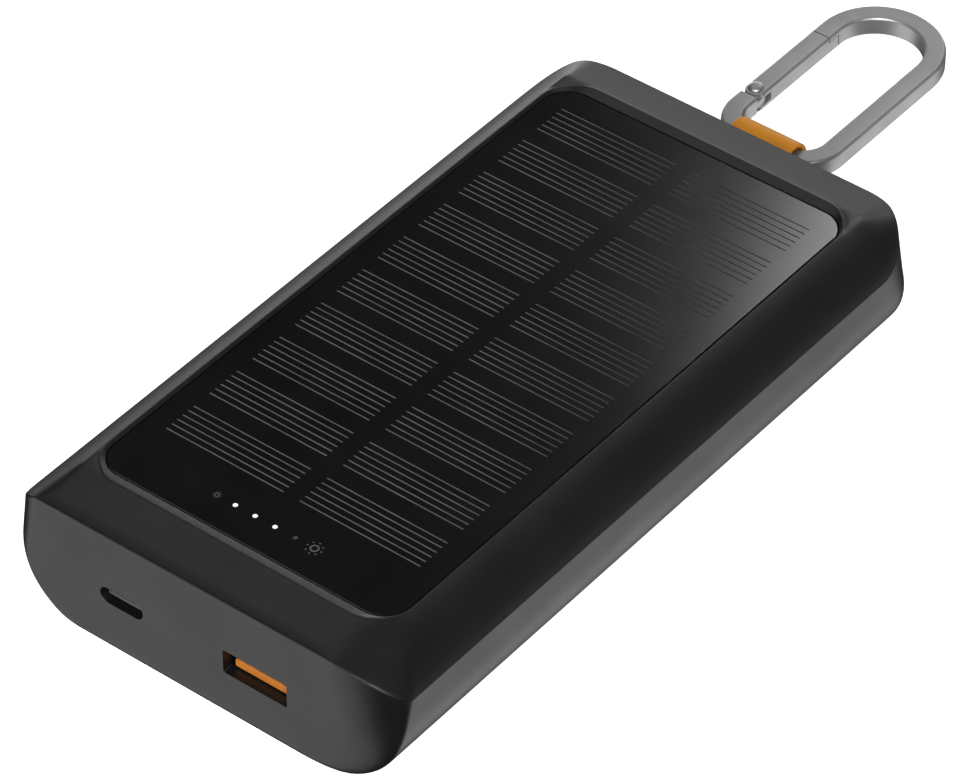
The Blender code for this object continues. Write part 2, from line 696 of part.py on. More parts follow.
def make_panel(finishes):
    window_low = PANEL_Z - WINDOW_THICK
    window = plate("panel_window", PANEL_HALF, window_low, PANEL_Z, finishes["panel_gloss"])
    for number in range(INDICATOR_COUNT):
        centre = (indicator_x(number), INDICATOR_Y)
        hole = circle(*centre, INDICATOR_HOLE, 12)
        hole_z = (window_low - CUT_MARGIN, PANEL_Z + CUT_MARGIN)
        cut(window, prism(f"indicator_hole_{number + 1}", hole, *hole_z))
        lens = [
            (INDICATOR_RADIUS, INDICATOR_FOOT_Z),
            (INDICATOR_RADIUS, PANEL_Z - INDICATOR_EDGE_DROP),
            (0.6 * INDICATOR_RADIUS, PANEL_Z - INDICATOR_TOP_DROP),
        ]
        lathe(f"indicator_led_{number + 1}", lens, centre, finishes["indicator"], 12)
    board_half = [length - BOARD_INSET for length in PANEL_HALF]
    board_z = (BOARD_TOP_Z - BOARD_THICK, BOARD_TOP_Z)
    plate("solar_backing_board", board_half, *board_z, finishes["panel_board"])
    tape_z = (TAPE_TOP_Z - TAPE_THICK, TAPE_TOP_Z)
    frame_ring("panel_adhesive_ring", board_half, TAPE_WIDTH, *tape_z, finishes["adhesive"])
    for side, word in ((-1, "left"), (1, "right")):
        outline = cell_string_outline(side)
        cell_z = (CELL_TOP_Z - CELL_THICK, CELL_TOP_Z)
        prism(f"cell_string_{word}", outline, *cell_z, finish=finishes["silicon"], smooth=False)


def cell_string_outline(side):
    """Ten cells in a row along Y, joined edge to edge by a narrow ribbon."""
    middle = (CELL_INNER_X + CELL_OUTER_X) / 2
    right_side = []
    for row in range(CELL_ROWS):
        low = FIRST_CELL_Y + row * CELL_PITCH - CELL_DEPTH / 2
        high = low + CELL_DEPTH
        if row:
            right_side.append((middle + RIBBON_HALF, low))
        right_side += [(CELL_OUTER_X, low), (CELL_OUTER_X, high)]
        if row < CELL_ROWS - 1:
            right_side.append((middle + RIBBON_HALF, high))
    left_side = [(2 * middle - x, y) for x, y in reversed(right_side)]
    return [(side * x, y) for x, y in right_side + left_side]


# Circuit board and ports

def make_port(name, centre_x, shell_size, back_y, finish, radius, steps):
    """A connector's folded metal shell: a tube that is open at the front and closed at the back."""
    front_y = -HALF_LENGTH + CONNECTOR_SETBACK
    outside = slot_outline(centre_x, PORT_Z, *shell_size, radius, steps)
    inside_size = [length - 2 * PORT_WALL for length in shell_size]
    inside_radius = max(radius - PORT_WALL, LEAST_PORT_RADIUS)
    inside = slot_outline(centre_x, PORT_Z, *inside_size, inside_radius, steps)
    shell = prism(name, outside, front_y, back_y, axis="y", finish=finish)
    mouth = prism(f"{name}_mouth", inside, front_y - CUT_MARGIN, back_y - PORT_BACK_WALL, axis="y")
    return cut(shell, mouth)


def make_ports(finishes):
    metal = finishes["port_metal"]
    make_port("usb_a_shell", USB_A_X, USB_A_SHELL, USB_A_BACK_Y, metal, USB_A_SHELL_RADIUS, 2)
    radius = ROUND_END * USB_C_SHELL[1]
    make_port("usb_c_shell", USB_C_X, USB_C_SHELL, USB_C_BACK_Y, metal, radius, 6)
    tongue = slot_outline(USB_A_X, USB_A_TONGUE_Z, *USB_A_TONGUE, USB_A_TONGUE_RADIUS, 2)
    ends = (-HALF_LENGTH + USB_A_TONGUE_RECESS, USB_A_BACK_Y - TONGUE_BACK_GAP)
    prism("usb_a_tongue", tongue, *ends, axis="y", finish=finishes["port_orange"])
    tongue = slot_outline(USB_C_X, PORT_Z, *USB_C_TONGUE, USB_C_TONGUE_RADIUS, 2)
    ends = (-HALF_LENGTH + USB_C_TONGUE_RECESS, USB_C_BACK_Y - TONGUE_BACK_GAP)
    prism("usb_c_tongue", tongue, *ends, axis="y", finish=finishes["port_black"])


def board_outline():
    """The board's plan: narrow in front of the screw posts, notched round both connectors."""
    notch = PART_GAP + 0.1 * MM
    a_half = USB_A_SHELL[0] / 2 + notch
    c_half = USB_C_SHELL[0] / 2 + notch
    a_back = USB_A_BACK_Y + notch
    c_back = USB_C_BACK_Y + notch
    return [
        (-PCB_NARROW_X, PCB_FRONT_Y),
        (USB_C_X - c_half, PCB_FRONT_Y),
        (USB_C_X - c_half, c_back),
        (USB_C_X + c_half, c_back),
        (USB_C_X + c_half, PCB_FRONT_Y),
        (USB_A_X - a_half, PCB_FRONT_Y),
        (USB_A_X - a_half, a_back),
        (USB_A_X + a_half, a_back),
        (USB_A_X + a_half, PCB_FRONT_Y),
        (PCB_NARROW_X, PCB_FRONT_Y),
        (PCB_NARROW_X, PCB_STEP_Y),
        (PCB_WIDE_X, PCB_STEP_Y),
        (PCB_WIDE_X, PCB_BACK_Y),
        (-PCB_WIDE_X, PCB_BACK_Y),
        (-PCB_WIDE_X, PCB_STEP_Y),
        (-PCB_NARROW_X, PCB_STEP_Y),
    ]


def make_board(finishes):
    board = prism("main_pcb", board_outline(), *PCB_Z, finish=finishes["board"], smooth=False)
    for number, place in enumerate(board_screw_places(), 1):
        cut(board, boss(f"board_hole_{number}", place, *BOARD_HOLE, 12))
    top = PCB_Z[1] + PART_GAP
    for name, (x, y, width, depth, height) in CHIPS.items():
        x_range = (x - width / 2, x + width / 2)
        y_range = (y - depth / 2, y + depth / 2)
        box(name, x_range, y_range, (top, top + height), finishes["chip"])
    half, radius, height = INDUCTOR_HALF, INDUCTOR_RADIUS, INDUCTOR_HEIGHT
    core = [(x + INDUCTOR_PLACE[0], y + INDUCTOR_PLACE[1]) for x, y in rounded_plan(half, half, radius, 2)]
    prism("boost_inductor", core, top, top + height, finish=finishes["ferrite"])
    for number, x in enumerate(CAPACITOR_X, 1):
        shoulder_z = top + CAPACITOR_HEIGHT - CAPACITOR_ROUND
        can = [
            (CAPACITOR_RADIUS, top),
            (CAPACITOR_RADIUS, shoulder_z),
            (CAPACITOR_RADIUS - CAPACITOR_ROUND, top + CAPACITOR_HEIGHT),
        ]
        lathe(f"bulk_capacitor_{number}", can, (x, CAPACITOR_Y), finishes["can"], 16)
    for number, place in enumerate(board_screw_places(), 1):
        make_screw(f"board_screw_{number}", place, top, BOARD_SCREW_SIZE, finishes, 1)


def make_screw(name, place, seat_z, size, finishes, head_up):
    """A pan-head screw: its head sits on seat_z, above it when head_up is 1 and below it when -1."""
    head, shank, length = size
    profile = [
        (0.5 * shank, seat_z - head_up * length),
        (shank, seat_z - head_up * (length - SCREW_TIP)),
        (shank, seat_z),
        (head, seat_z),
        (head, seat_z + head_up * SCREW_RIM),
        (0.7 * head, seat_z + head_up * SCREW_HEAD),
    ]
    return lathe(name, profile, place, finishes["steel"], 16)


def make_button(finishes):
    """The power button and, behind it, the side-press switch on the board."""
    cap = slot_outline(BUTTON_Y, BUTTON_Z, *BUTTON_SIZE, BUTTON_RADIUS)
    flange = slot_outline(BUTTON_Y, BUTTON_Z, *BUTTON_FLANGE, BUTTON_FLANGE_RADIUS)
    cap_x = (BUTTON_FACE_X, BUTTON_FLANGE_X[1])
    button = prism("power_button", cap, *cap_x, axis="x", finish=finishes["button"])
    join(button, prism("button_flange", flange, *BUTTON_FLANGE_X, axis="x"))
    low = PCB_Z[1] + PART_GAP
    body_y = (BUTTON_Y - SWITCH_HALF_Y, BUTTON_Y + SWITCH_HALF_Y)
    box("switch_body", SWITCH_BODY_X, body_y, (low, low + SWITCH_HEIGHT), finishes["can"])
    stem = slot_outline(BUTTON_Y, BUTTON_Z, *PLUNGER_SIZE, PLUNGER_RADIUS, 2)
    stem_end = SWITCH_BODY_X[0] - PLUNGER_GAP
    prism("switch_plunger", stem, PLUNGER_FACE_X, stem_end, axis="x", finish=finishes["port_black"])


# Battery and wiring

def make_battery(finishes):
    for word, z_range in (("lower", LOWER_PACK_Z), ("upper", UPPER_PACK_Z)):
        middle = sum(z_range) / 2
        size = (2 * CELL_PACK_HALF_X, z_range[1] - z_range[0])
        outline = slot_outline(0, middle, *size, CELL_PACK_RADIUS, 3)
        prism(f"battery_cell_{word}", outline, *CELL_PACK_Y, axis="y", finish=finishes["foil"])
    front_y, back_y = CELL_PACK_Y
    pad_y = (front_y + FOAM_INSET_Y, back_y - FOAM_INSET_Y)
    box("battery_foam_pad", (-FOAM_HALF_X, FOAM_HALF_X), pad_y, FOAM_Z, finishes["foam"])
    tab_x = (-TAB_BOARD_HALF_X, TAB_BOARD_HALF_X)
    tab_y = [front_y - gap for gap in TAB_BOARD_GAP]
    box("battery_tab_board", tab_x, tab_y, TAB_BOARD_Z, finishes["board"])
    lathe("battery_thermistor", THERMISTOR_PROFILE, THERMISTOR_PLACE, finishes["chip"], 12)


def make_wiring(finishes):
    """Leads from the battery and the solar board to the main board, soldered at both ends."""
    board_top = PCB_Z[1] + SOLDER_GAP
    tab_front = CELL_PACK_Y[0] - TAB_SOLDER_GAP
    battery = [(0, y, z) for y, z in BATTERY_LEAD_ROUTE]
    battery.append((0, BATTERY_LEAD_END_Y, board_top))
    solar_top = BOARD_TOP_Z - BOARD_THICK - SOLDER_GAP
    solar = [(0, 0, solar_top), *SOLAR_LEAD_ROUTE, (0, 0, board_top)]
    for word, colour, side in (("positive", "wire_red", 1), ("negative", "wire_black", -1)):
        shift = side * LEAD_PITCH
        start = Vector((BATTERY_LEAD_X + shift, tab_front, 0))
        route = [start + Vector(point) for point in battery]
        wire(f"battery_lead_{word}", route, BATTERY_LEAD_RADIUS, finishes[colour])
        start = Vector((SOLAR_LEAD_START[0] + shift, SOLAR_LEAD_START[1], 0))
        route = [start + Vector(point) for point in solar]
        wire(f"solar_lead_{word}", route, SOLAR_LEAD_RADIUS, finishes[colour])


# Strap loop

def band_side(radius_shift):
    """Side view (y, z) of the strap: a belt round the anchor pin and round the carabiner's bar."""
    bar_radius = STRAP_BORE + radius_shift
    pin_radius = ANCHOR_RADIUS + STRAP_PIN_GAP + radius_shift
    span = SWING_Y - ANCHOR_Y
    tilt = math.degrees(math.asin((bar_radius - pin_radius) / span))
    over_bar = circle(SWING_Y, BAR_Z, bar_radius, 20, -90 - tilt, 180 + 2 * tilt)
    round_pin = circle(ANCHOR_Y, BAR_Z, pin_radius, 14, 90 + tilt, 180 - 2 * tilt)
    return over_bar + round_pin


def make_strap(finishes):
    half = STRAP_WIDTH / 2
    rings = []
    for radius_shift, x in ((STRAP_THICK, -half), (STRAP_THICK, half), (0.0, half), (0.0, -half)):
        rings.append([(x, y, z) for y, z in band_side(radius_shift)])
    loft("strap_loop", rings, finishes["strap_orange"], closed=True)
    pin = circle(ANCHOR_Y, BAR_Z, ANCHOR_RADIUS, 16)
    pin_x = (-ANCHOR_PIN_X, ANCHOR_PIN_X)
    prism("strap_anchor_pin", pin, *pin_x, axis="x", finish=finishes["steel"])
    outer = [2 * (length - ANCHOR_CLEARANCE) for length in SLOT_HALF]
    inner = [length - 2 * GROMMET_THICK for length in outer]
    rings = []
    front_y, rear_y = GROMMET_Y
    outer_radius, inner_radius = GROMMET_RADII
    for size, radius, y in (
        (outer, outer_radius, front_y),
        (outer, outer_radius, rear_y),
        (inner, inner_radius, rear_y),
        (inner, inner_radius, front_y),
    ):
        rings.append([(u, y, v) for u, v in slot_outline(0, BAR_Z, *size, radius)])
    loft("strap_grommet", rings, finishes["seal"], closed=True)


# Carabiner

def bar_section():
    """The bar's cross-section: a square with bevelled corners, as (across, up) points."""
    half, chamfer = BAR / 2, BAR_CHAMFER
    return [
        (half, -half + chamfer),
        (half, half - chamfer),
        (half - chamfer, half),
        (-half + chamfer, half),
        (-half, half - chamfer),
        (-half, -half + chamfer),
        (-half + chamfer, -half),
        (half - chamfer, -half),
    ]


def carabiner_path():
    """Centre line of the fixed part, from the gate's pivot round to the nose, as (x, y, heading)."""
    path = [(-LEG_X, PIVOT_Y - FRAME_START, -90.0)]
    bend_x = LEG_X - NEAR_BEND
    bend_y = NEAR_BAR_Y + NEAR_BEND
    for centre_x, start in ((-bend_x, 180.0), (bend_x, 270.0)):
        for step in range(7):
            angle = start + 15.0 * step
            turn = math.radians(angle)
            x = centre_x + NEAR_BEND * math.cos(turn)
            path.append((x, bend_y + NEAR_BEND * math.sin(turn), angle + 90.0))
    for step in range(13):
        angle = 15.0 * step
        turn = math.radians(angle)
        x = FAR_BEND * math.cos(turn)
        path.append((x, FAR_CENTRE_Y + FAR_BEND * math.sin(turn), angle + 90.0))
    path.append((-LEG_X, GATE_NOSE_Y + JOINT_GAP / 2, -90.0))
    return path


def sweep_bar(name, path, finish=None):
    rings = []
    for x, y, heading in path:
        turn = math.radians(heading)
        across = Vector((math.sin(turn), -math.cos(turn), 0.0))
        centre = Vector((x, y, BAR_Z))
        rings.append([tuple(centre + across * u + Vector((0, 0, v))) for u, v in bar_section()])
    return loft(name, rings, finish)


def make_carabiner(finishes):
    metal = finishes["aluminium"]
    pivot = (-LEG_X, PIVOT_Y)
    frame = sweep_bar("carabiner_frame", carabiner_path(), metal)
    reach = KNUCKLE_RADIUS + JOINT_GAP
    tall = (BAR_Z - CUT_REACH, BAR_Z + CUT_REACH)
    wide = (-LEG_X - CUT_SIDE, -LEG_X + CUT_SIDE)
    cut(frame, boss("knuckle_space", pivot, reach, *tall, 32))
    root_y = PIVOT_Y - TONGUE_ROOT
    tail = [(-LEG_X + TONGUE_RADIUS, root_y), *circle(*pivot, TONGUE_RADIUS, 12, 0, 180)]
    tail.append((-LEG_X - TONGUE_RADIUS, root_y))
    join(frame, prism("pivot_tongue", tail, BAR_Z - TONGUE_HALF_Z, BAR_Z + TONGUE_HALF_Z))
    cut(frame, boss("pivot_hole", pivot, RIVET_HOLE, *tall, 24))
    lap_y = (GATE_NOSE_Y - NOSE_REACH, GATE_TIP_Y + JOINT_GAP / 2)
    cut(frame, box("nose_lap", wide, lap_y, (tall[0], LAP_Z + JOINT_GAP / 4)))
    make_gate(metal, pivot, wide, tall)
    make_rivet(finishes["steel"], pivot)
    make_gate_spring(finishes["steel"])
    mark_pivot("carabiner_swing_axis", (0, SWING_Y, BAR_Z))
    mark_pivot("gate_axis", (*pivot, BAR_Z))


def make_gate(metal, pivot, wide, tall):
    gate = sweep_bar("carabiner_gate", gate_path(), metal)
    heel_y = PIVOT_Y - CUT_REACH
    heel = [(wide[1], PIVOT_Y), *circle(*pivot, KNUCKLE_RADIUS, 16, 0, -180)]
    heel += [(wide[0], PIVOT_Y), (wide[0], heel_y), (wide[1], heel_y)]
    cut(gate, prism("heel_round", heel, *tall))
    lap_y = (GATE_NOSE_Y - JOINT_GAP / 2, GATE_TIP_Y + NOSE_REACH)
    cut(gate, box("gate_lap", wide, lap_y, (LAP_Z - JOINT_GAP / 4, tall[1])))
    fork = TONGUE_HALF_Z + CHEEK_GAP
    fork_y = (heel_y, PIVOT_Y + FORK_DEPTH)
    cut(gate, box("fork_slot", wide, fork_y, (BAR_Z - fork, BAR_Z + fork)))
    bore = circle(-LEG_X, BAR_Z, SPRING_BORE, 14)
    cut(gate, prism("spring_bore", bore, PIVOT_Y + SPRING_BORE_START, SPRING_END_Y, axis="y"))
    cut(gate, boss("gate_hole", pivot, RIVET_HOLE, *tall, 24))


def make_rivet(finish, pivot):
    """A pin with a low dome at either end, clear of the bar's faces."""
    base = BAR_Z + BAR / 2 + RIVET_SEAT
    foot = BAR_Z - BAR / 2 - RIVET_SEAT
    profile = [
        (0.55 * RIVET_HEAD, foot - RIVET_DOME),
        (0.88 * RIVET_HEAD, foot - 0.6 * RIVET_DOME),
        (RIVET_HEAD, foot),
        (RIVET_RADIUS, foot),
        (RIVET_RADIUS, base),
        (RIVET_HEAD, base),
        (0.88 * RIVET_HEAD, base + 0.6 * RIVET_DOME),
        (0.55 * RIVET_HEAD, base + RIVET_DOME),
    ]
    lathe("gate_rivet", profile, pivot, finish, 24)


def gate_path():
    ends = (PIVOT_Y - GATE_START, GATE_TIP_Y - JOINT_GAP / 2)
    return [(-LEG_X, y, 90.0) for y in ends]


def make_gate_spring(finish):
    """A compression spring in the gate's bore. It pushes on the end of the frame's tongue."""
    steps = 10
    last = SPRING_TURNS * steps
    coil_radius = SPRING_BORE - SPRING_WIRE_RADIUS - SPRING_SIDE_GAP
    start = PIVOT_Y + SPRING_START
    length = SPRING_END_Y - SPRING_END_GAP - start
    rings = []
    for step in range(last + 1):
        angle = math.tau * step / steps
        outward = Vector((math.cos(angle), 0, math.sin(angle)))
        along = Vector((0, 1, 0))
        centre = Vector((-LEG_X, start + length * step / last, BAR_Z))
        centre += outward * coil_radius
        ring = []
        for u, v in circle(0, 0, SPRING_WIRE_RADIUS, 6):
            ring.append(tuple(centre + outward * u + along * v))
        rings.append(ring)
    return loft("gate_spring", rings, finish)


def mark_pivot(name, place):
    """An empty on a joint's axis."""
    pivot = bpy.data.objects.new(name, None)
    pivot.location = place
    bpy.context.scene.collection.objects.link(pivot)
    return pivot


def set_origin(obj, place):
    """Move an object's origin onto its joint's axis and leave its shape where it is."""
    obj.data.transform(Matrix.Translation(-Vector(place)))
    obj.location = place


def main():
    clear_scene()
    finishes = materials()
    make_lower_shell(finishes["soft_touch"])
    make_upper_shell(finishes["soft_touch"])
    make_shell_gasket(finishes["seal"])
    make_panel(finishes)
    make_ports(finishes)
    make_board(finishes)
    make_button(finishes)
    make_battery(finishes)
    make_wiring(finishes)
    for number, place in enumerate(case_screw_places(), 1):
        make_screw(f"case_screw_{number}", place, SCREW_SEAT_Z, CASE_SCREW_SIZE, finishes, -1)
    make_strap(finishes)
    make_carabiner(finishes)
    objects = bpy.data.objects
    for name in ("carabiner_frame", "gate_rivet"):
        set_origin(objects[name], (0, SWING_Y, BAR_Z))
    for name in ("carabiner_gate", "gate_spring"):
        set_origin(objects[name], (-LEG_X, PIVOT_Y, BAR_Z))
    for name in ("power_button", "switch_plunger"):
        set_origin(objects[name], (BUTTON_FLANGE_X[0], BUTTON_Y, BUTTON_Z))


main()
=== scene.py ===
"""The looks of the solar phone charger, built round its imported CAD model.

Metres, in the CAD frame: +Z up out of the solar panel, +Y from the ports to the carabiner.
"""

import json
import math

import bmesh
import bpy
from mathutils import Matrix, Vector


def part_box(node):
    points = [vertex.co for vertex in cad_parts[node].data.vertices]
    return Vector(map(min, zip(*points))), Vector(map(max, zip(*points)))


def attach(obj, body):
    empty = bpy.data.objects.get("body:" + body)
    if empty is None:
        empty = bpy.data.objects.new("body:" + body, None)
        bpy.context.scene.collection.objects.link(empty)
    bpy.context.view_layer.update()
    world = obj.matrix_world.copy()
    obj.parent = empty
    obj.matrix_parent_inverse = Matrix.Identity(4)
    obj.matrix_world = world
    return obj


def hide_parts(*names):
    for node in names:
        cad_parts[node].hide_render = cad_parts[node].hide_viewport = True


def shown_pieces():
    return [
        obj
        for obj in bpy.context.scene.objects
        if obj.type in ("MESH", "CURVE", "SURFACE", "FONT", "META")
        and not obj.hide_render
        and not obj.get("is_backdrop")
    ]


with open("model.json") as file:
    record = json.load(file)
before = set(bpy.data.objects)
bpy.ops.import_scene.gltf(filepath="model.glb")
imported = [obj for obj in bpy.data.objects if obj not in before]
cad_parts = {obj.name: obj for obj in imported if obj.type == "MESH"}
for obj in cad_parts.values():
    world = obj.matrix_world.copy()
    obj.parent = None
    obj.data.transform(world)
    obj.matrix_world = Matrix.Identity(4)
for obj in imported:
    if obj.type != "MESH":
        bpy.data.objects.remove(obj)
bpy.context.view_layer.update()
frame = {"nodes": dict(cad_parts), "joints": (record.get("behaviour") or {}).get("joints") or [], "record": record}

MM = 0.001

# Sizes that the CAD model gives
TUB_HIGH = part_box("lower_shell")[1]
HALF_WIDTH = TUB_HIGH.x
HALF_LENGTH = TUB_HIGH.y
LIP_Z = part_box("upper_shell")[1].z
PANEL_HALF_X, PANEL_HALF_Y, PANEL_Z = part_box("panel_window")[1]
STRAP_LOW, STRAP_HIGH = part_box("strap_loop")
BAR_LOW, BAR_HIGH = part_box("carabiner_frame")
BAR_Z = (BAR_LOW.z + BAR_HIGH.z) / 2
RIVET_LOW, RIVET_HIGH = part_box("gate_rivet")
PIVOT_Y = (RIVET_LOW.y + RIVET_HIGH.y) / 2
INDICATORS = [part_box(f"indicator_led_{number}") for number in range(1, 5)]
JOINTS = {joint["name"]: joint for joint in frame["joints"]}
SWING_Y = JOINTS["carabiner_swing"]["pos_m"][1]

# Outer form of the housing, as the CAD model has it
END_CREASE_Z = 25.6 * MM
SIDE_CREASE_Z = 20.45 * MM
CREASE_BLEND = 1.6 * MM
BLEND_REACH = 1.2 * MM
SHOULDER_HALF_TURN = 11.0
WIDEST_Z = 16.0 * MM
SIDE_REACH = 19.9 * MM
SIDE_POWER = 2.2
END_ROUND = 2.5 * MM
CREASE_CORNERS = (
    (12.2 * MM, 12.2 * MM),
    (12.2 * MM, 12.2 * MM),
    (6.0 * MM, 6.0 * MM),
    (13.0 * MM, 5.6 * MM),
)
FOOT_CORNERS = ((4.5 * MM, 4.5 * MM), (4.5 * MM, 4.5 * MM), (1.0 * MM, 1.0 * MM), (6.5 * MM, 1.2 * MM))
CORNER_POWER = 1.5
LEAST_CORNER = 0.4 * MM
WALL = 2.0 * MM
RIM_WALL = 1.0 * MM
RIM_DEPTH = 4.2 * MM
SKIRT_DEPTH = 3.1 * MM
SEAM = 0.02 * MM
SEAM_DROP = 0.30 * MM
SEAM_ROUND = 0.03 * MM
LIP_HALF = (30.5 * MM, 61.9 * MM, 7.0 * MM)
LIP_ROUND = 0.22 * MM
CREST_HALF = (30.38 * MM, 61.6 * MM, 6.85 * MM)
POCKET_HALF = (29.95 * MM, 60.1 * MM, 5.2 * MM)
LEDGE_HALF = (27.8 * MM, 57.9 * MM, 3.4 * MM)
LEDGE_TOP_Z = 24.2 * MM
LEDGE_UNDER_Z = 22.6 * MM
UNDER_HALF = (31.0 * MM, 62.6 * MM, 5.0 * MM)
CREASE_EASING = ((0.0, -0.22 * MM), (0.035 * MM, -0.09 * MM), (0.12 * MM, 0.03 * MM))
FIRST_SHOULDER_SHARE = 0.04
LIP_EASE_DROP = 0.07 * MM
LIP_TOP_SHARE = 0.3
CREST_DROP = 0.02 * MM
SHELL_CLEARANCE = 0.25 * MM
ROOF_RISE = 0.3 * MM
TUB_WALL_SHARES = (0.35, 0.7)

# How finely curves are divided, and how shading treats edges
CORNER_STEPS = 20
SHOULDER_STEPS = 16
TUB_STEPS_OUTSIDE = 26
TUB_STEPS_INSIDE = 10
SHARP_ANGLE = 32.0
FLAT_FACE_WEIGHT = 80

# Holes in the lower shell
PORT_Z = 12.4 * MM
PORT_EDGE = 0.05 * MM
USB_A_X = 11.3 * MM
USB_A_CUTOUT = (12.7 * MM, 4.7 * MM)
USB_C_X = -15.75 * MM
USB_C_CUTOUT = (8.7 * MM, 3.1 * MM)
SLOT_HALF = (7.3 * MM, 4.1 * MM)
BUTTON_Y = -54.0 * MM
BUTTON_Z = 13.9 * MM
BUTTON_SIZE = (9.0 * MM, 3.6 * MM)
BUTTON_GAP = 0.3 * MM
BUTTON_HOLE_CORNER = 1.5 * MM
BUTTON_HOLE_X = -33.0 * MM
USB_A_CORNER = 0.35 * MM
USB_C_CORNER_SHARE = 0.499
SLOT_CORNER = 1.6 * MM
HOLE_DEPTH = 4.0 * MM
CUT_MARGIN = 1.0 * MM
SINK_RADIUS = 2.25 * MM
SINK_DEPTH = 2.5 * MM
BOSS_RADIUS = 3.0 * MM
BOSS_FOOT_Z = 1.6 * MM
BOSS_TOP_Z = 8.7 * MM
CASE_SCREWS = 4

# Solar panel
SHEET_CORNER = 5.0 * MM
SHEET_EASING = ((0.16 * MM, 0.0), (0.05 * MM, -0.05 * MM), (0.0, -0.18 * MM))
CELL_GROUP_MIDDLE = -0.2 * MM
CELL_LINE_INNER = 1.65 * MM
CELL_LINE_OUTER = 25.6 * MM
CELL_ROWS = 10
CELL_PITCH = 10.55 * MM
FIRST_CELL_Y = -43.7 * MM
LINES_PER_CELL = 6
LINE_PITCH = 1.32 * MM
LINE_WIDTH = 0.27 * MM
LINE_RISE = 0.012 * MM
LINE_SINK = 0.01 * MM
LINE_BEVEL = 0.03 * MM
# Where the painted shade on the cell lines begins and where it is full, along 2X + Y
LINE_PAINTED_SHADE_START = -15.0 * MM
LINE_PAINTED_SHADE_END = 85.0 * MM
INDICATOR_Y = -53.9 * MM
INDICATOR_RADIUS = 0.41 * MM
INDICATOR_GAP = 0.04 * MM
LENS_SEAT = 0.04 * MM
LENS_DOME = 0.05 * MM
LENS_TIP = 0.02 * MM
LIT_INDICATORS = 3
SMALL_SUN = (-9.5 * MM, 0.36 * MM, 0.68 * MM, 0.09 * MM)
LARGE_SUN = (10.1 * MM, 0.66 * MM, 1.36 * MM, 0.16 * MM)
SUN_RAYS = 8
SUN_RING_SIDES = 32
SUN_DOT_SIDES = 12

# Connector tongues, as (distance back from the tip, shrink) of their rounded noses in mm
USB_A_NOSE = ((0.0, 0.16), (0.05, 0.05), (0.18, 0.0))
USB_A_TONGUE_CORNER = 0.22 * MM
USB_C_NOSE = ((0.0, 0.1), (0.04, 0.03), (0.12, 0.0))
USB_C_TONGUE_CORNER = 0.2 * MM
CONTACTS = 4
CONTACT_PITCH = 2.3
CONTACT_HALF_WIDTH = 0.5 * MM
CONTACT_SETBACK = 1.6 * MM
CONTACT_END = 2.0 * MM
CONTACT_SINK = 0.1 * MM
CONTACT_RISE = 0.06 * MM
CONTACT_EDGE = 0.03 * MM

# Button cap, as (distance inwards, shrink) of its crown in mm, and its flange
BUTTON_CROWN = ((0.0, 0.75), (0.05, 0.45), (0.18, 0.18), (0.4, 0.04), (0.7, 0.0))
BUTTON_CORNER = 1.2 * MM
FLANGE_THICK = 0.7 * MM
FLANGE_CORNER = 1.4 * MM

# Case screws
SCREW_SEAT = 1.35 * MM
SCREW_SHANK = 0.95 * MM
SCREW_TIP = 0.6 * MM
RECESS_LONG = 1.15 * MM
RECESS_SHORT = 0.28 * MM
RECESS_DEPTH = 0.8 * MM
RECESS_CORNER = 0.1 * MM

# Strap sleeve
SLEEVE_WALL = 0.55 * MM
SLEEVE_MOUTH = 0.2 * MM
SLEEVE_CORNER = 1.5 * MM

# Strap loop
STRAP_THICK = 0.8 * MM
STRAP_BORE = 3.0 * MM
STRAP_EDGE = 0.36 * MM
ANCHOR_Y = 66.0 * MM
ANCHOR_BORE = 1.75 * MM

# Carabiner
BAR_HALF = (BAR_HIGH.z - BAR_LOW.z) / 2
BAR_CHAMFER = 0.42 * MM
BAR_SOFTEN = 0.13 * MM
LEG_X = BAR_HIGH.x - BAR_HALF
NEAR_BAR_Y = BAR_LOW.y + BAR_HALF
NEAR_BEND = 6.6 * MM
FAR_BEND = LEG_X
FAR_CENTRE_Y = BAR_HIGH.y - BAR_HALF - FAR_BEND
GATE_NOSE_Y = 107.3 * MM
GATE_TIP_Y = 110.1 * MM
LAP_Z = 17.2 * MM
JOINT_GAP = 0.25 * MM
TONGUE_HALF_Z = 0.7 * MM
CHEEK_GAP = 0.15 * MM
KNUCKLE_RADIUS = 1.85 * MM
KNUCKLE_CLEARANCE = 0.1 * MM
PIVOT_TONGUE_RADIUS = 1.72 * MM
PIVOT_TONGUE_TAIL = 3.2 * MM
FORK_END = 1.85 * MM
FRAME_OVERRUN = 2.2 * MM
GATE_OVERRUN = 3.0 * MM
LAP_OVERRUN = 2 * MM
CUTTER_HALF_WIDTH = 3 * MM
CUTTER_REACH = 4 * MM
RIVET_HOLE = 0.88 * MM
RIVET_SHANK = 0.8 * MM
RIVET_SEAT = 0.08 * MM

# Stage. Each light: name, direction, distance, size and radiance
FLOOR_HALF = 3.0
FLOOR_GAP = 0.0002
WORLD_STRENGTH = 0.04
LIGHT_AIM = (0, 0, 0.012)
LIGHTS = (
    ("camera_side_key", (0.50, -0.76, 0.62), 1.3, (0.9, 0.9), 8.0),
    ("front_low", (-0.46, -0.60, -0.62), 1.0, (0.9, 0.8), 1.15),
    ("right_low", (0.46, 0.50, -0.73), 1.0, (0.8, 0.7), 1.35),
    ("right_rear", (0.785, 0.613, 0.087), 1.2, (0.6, 0.4), 0.9),
    ("left_side", (-0.78, 0.61, -0.03), 1.1, (0.6, 0.32), 1.7),
    ("rear_low", (-0.42, 0.70, -0.57), 1.1, (0.3, 0.4), 0.3),
    ("rear_strip", (-0.45, 0.89, 0.05), 1.2, (1.2, 0.25), 3.0),
    ("band_fill", (-0.464, 0.20, 0.86), 1.3, (0.5, 0.5), 1.3),
)
GLOW_DIRECTION = (-0.0556, 0.7384, 0.6720)

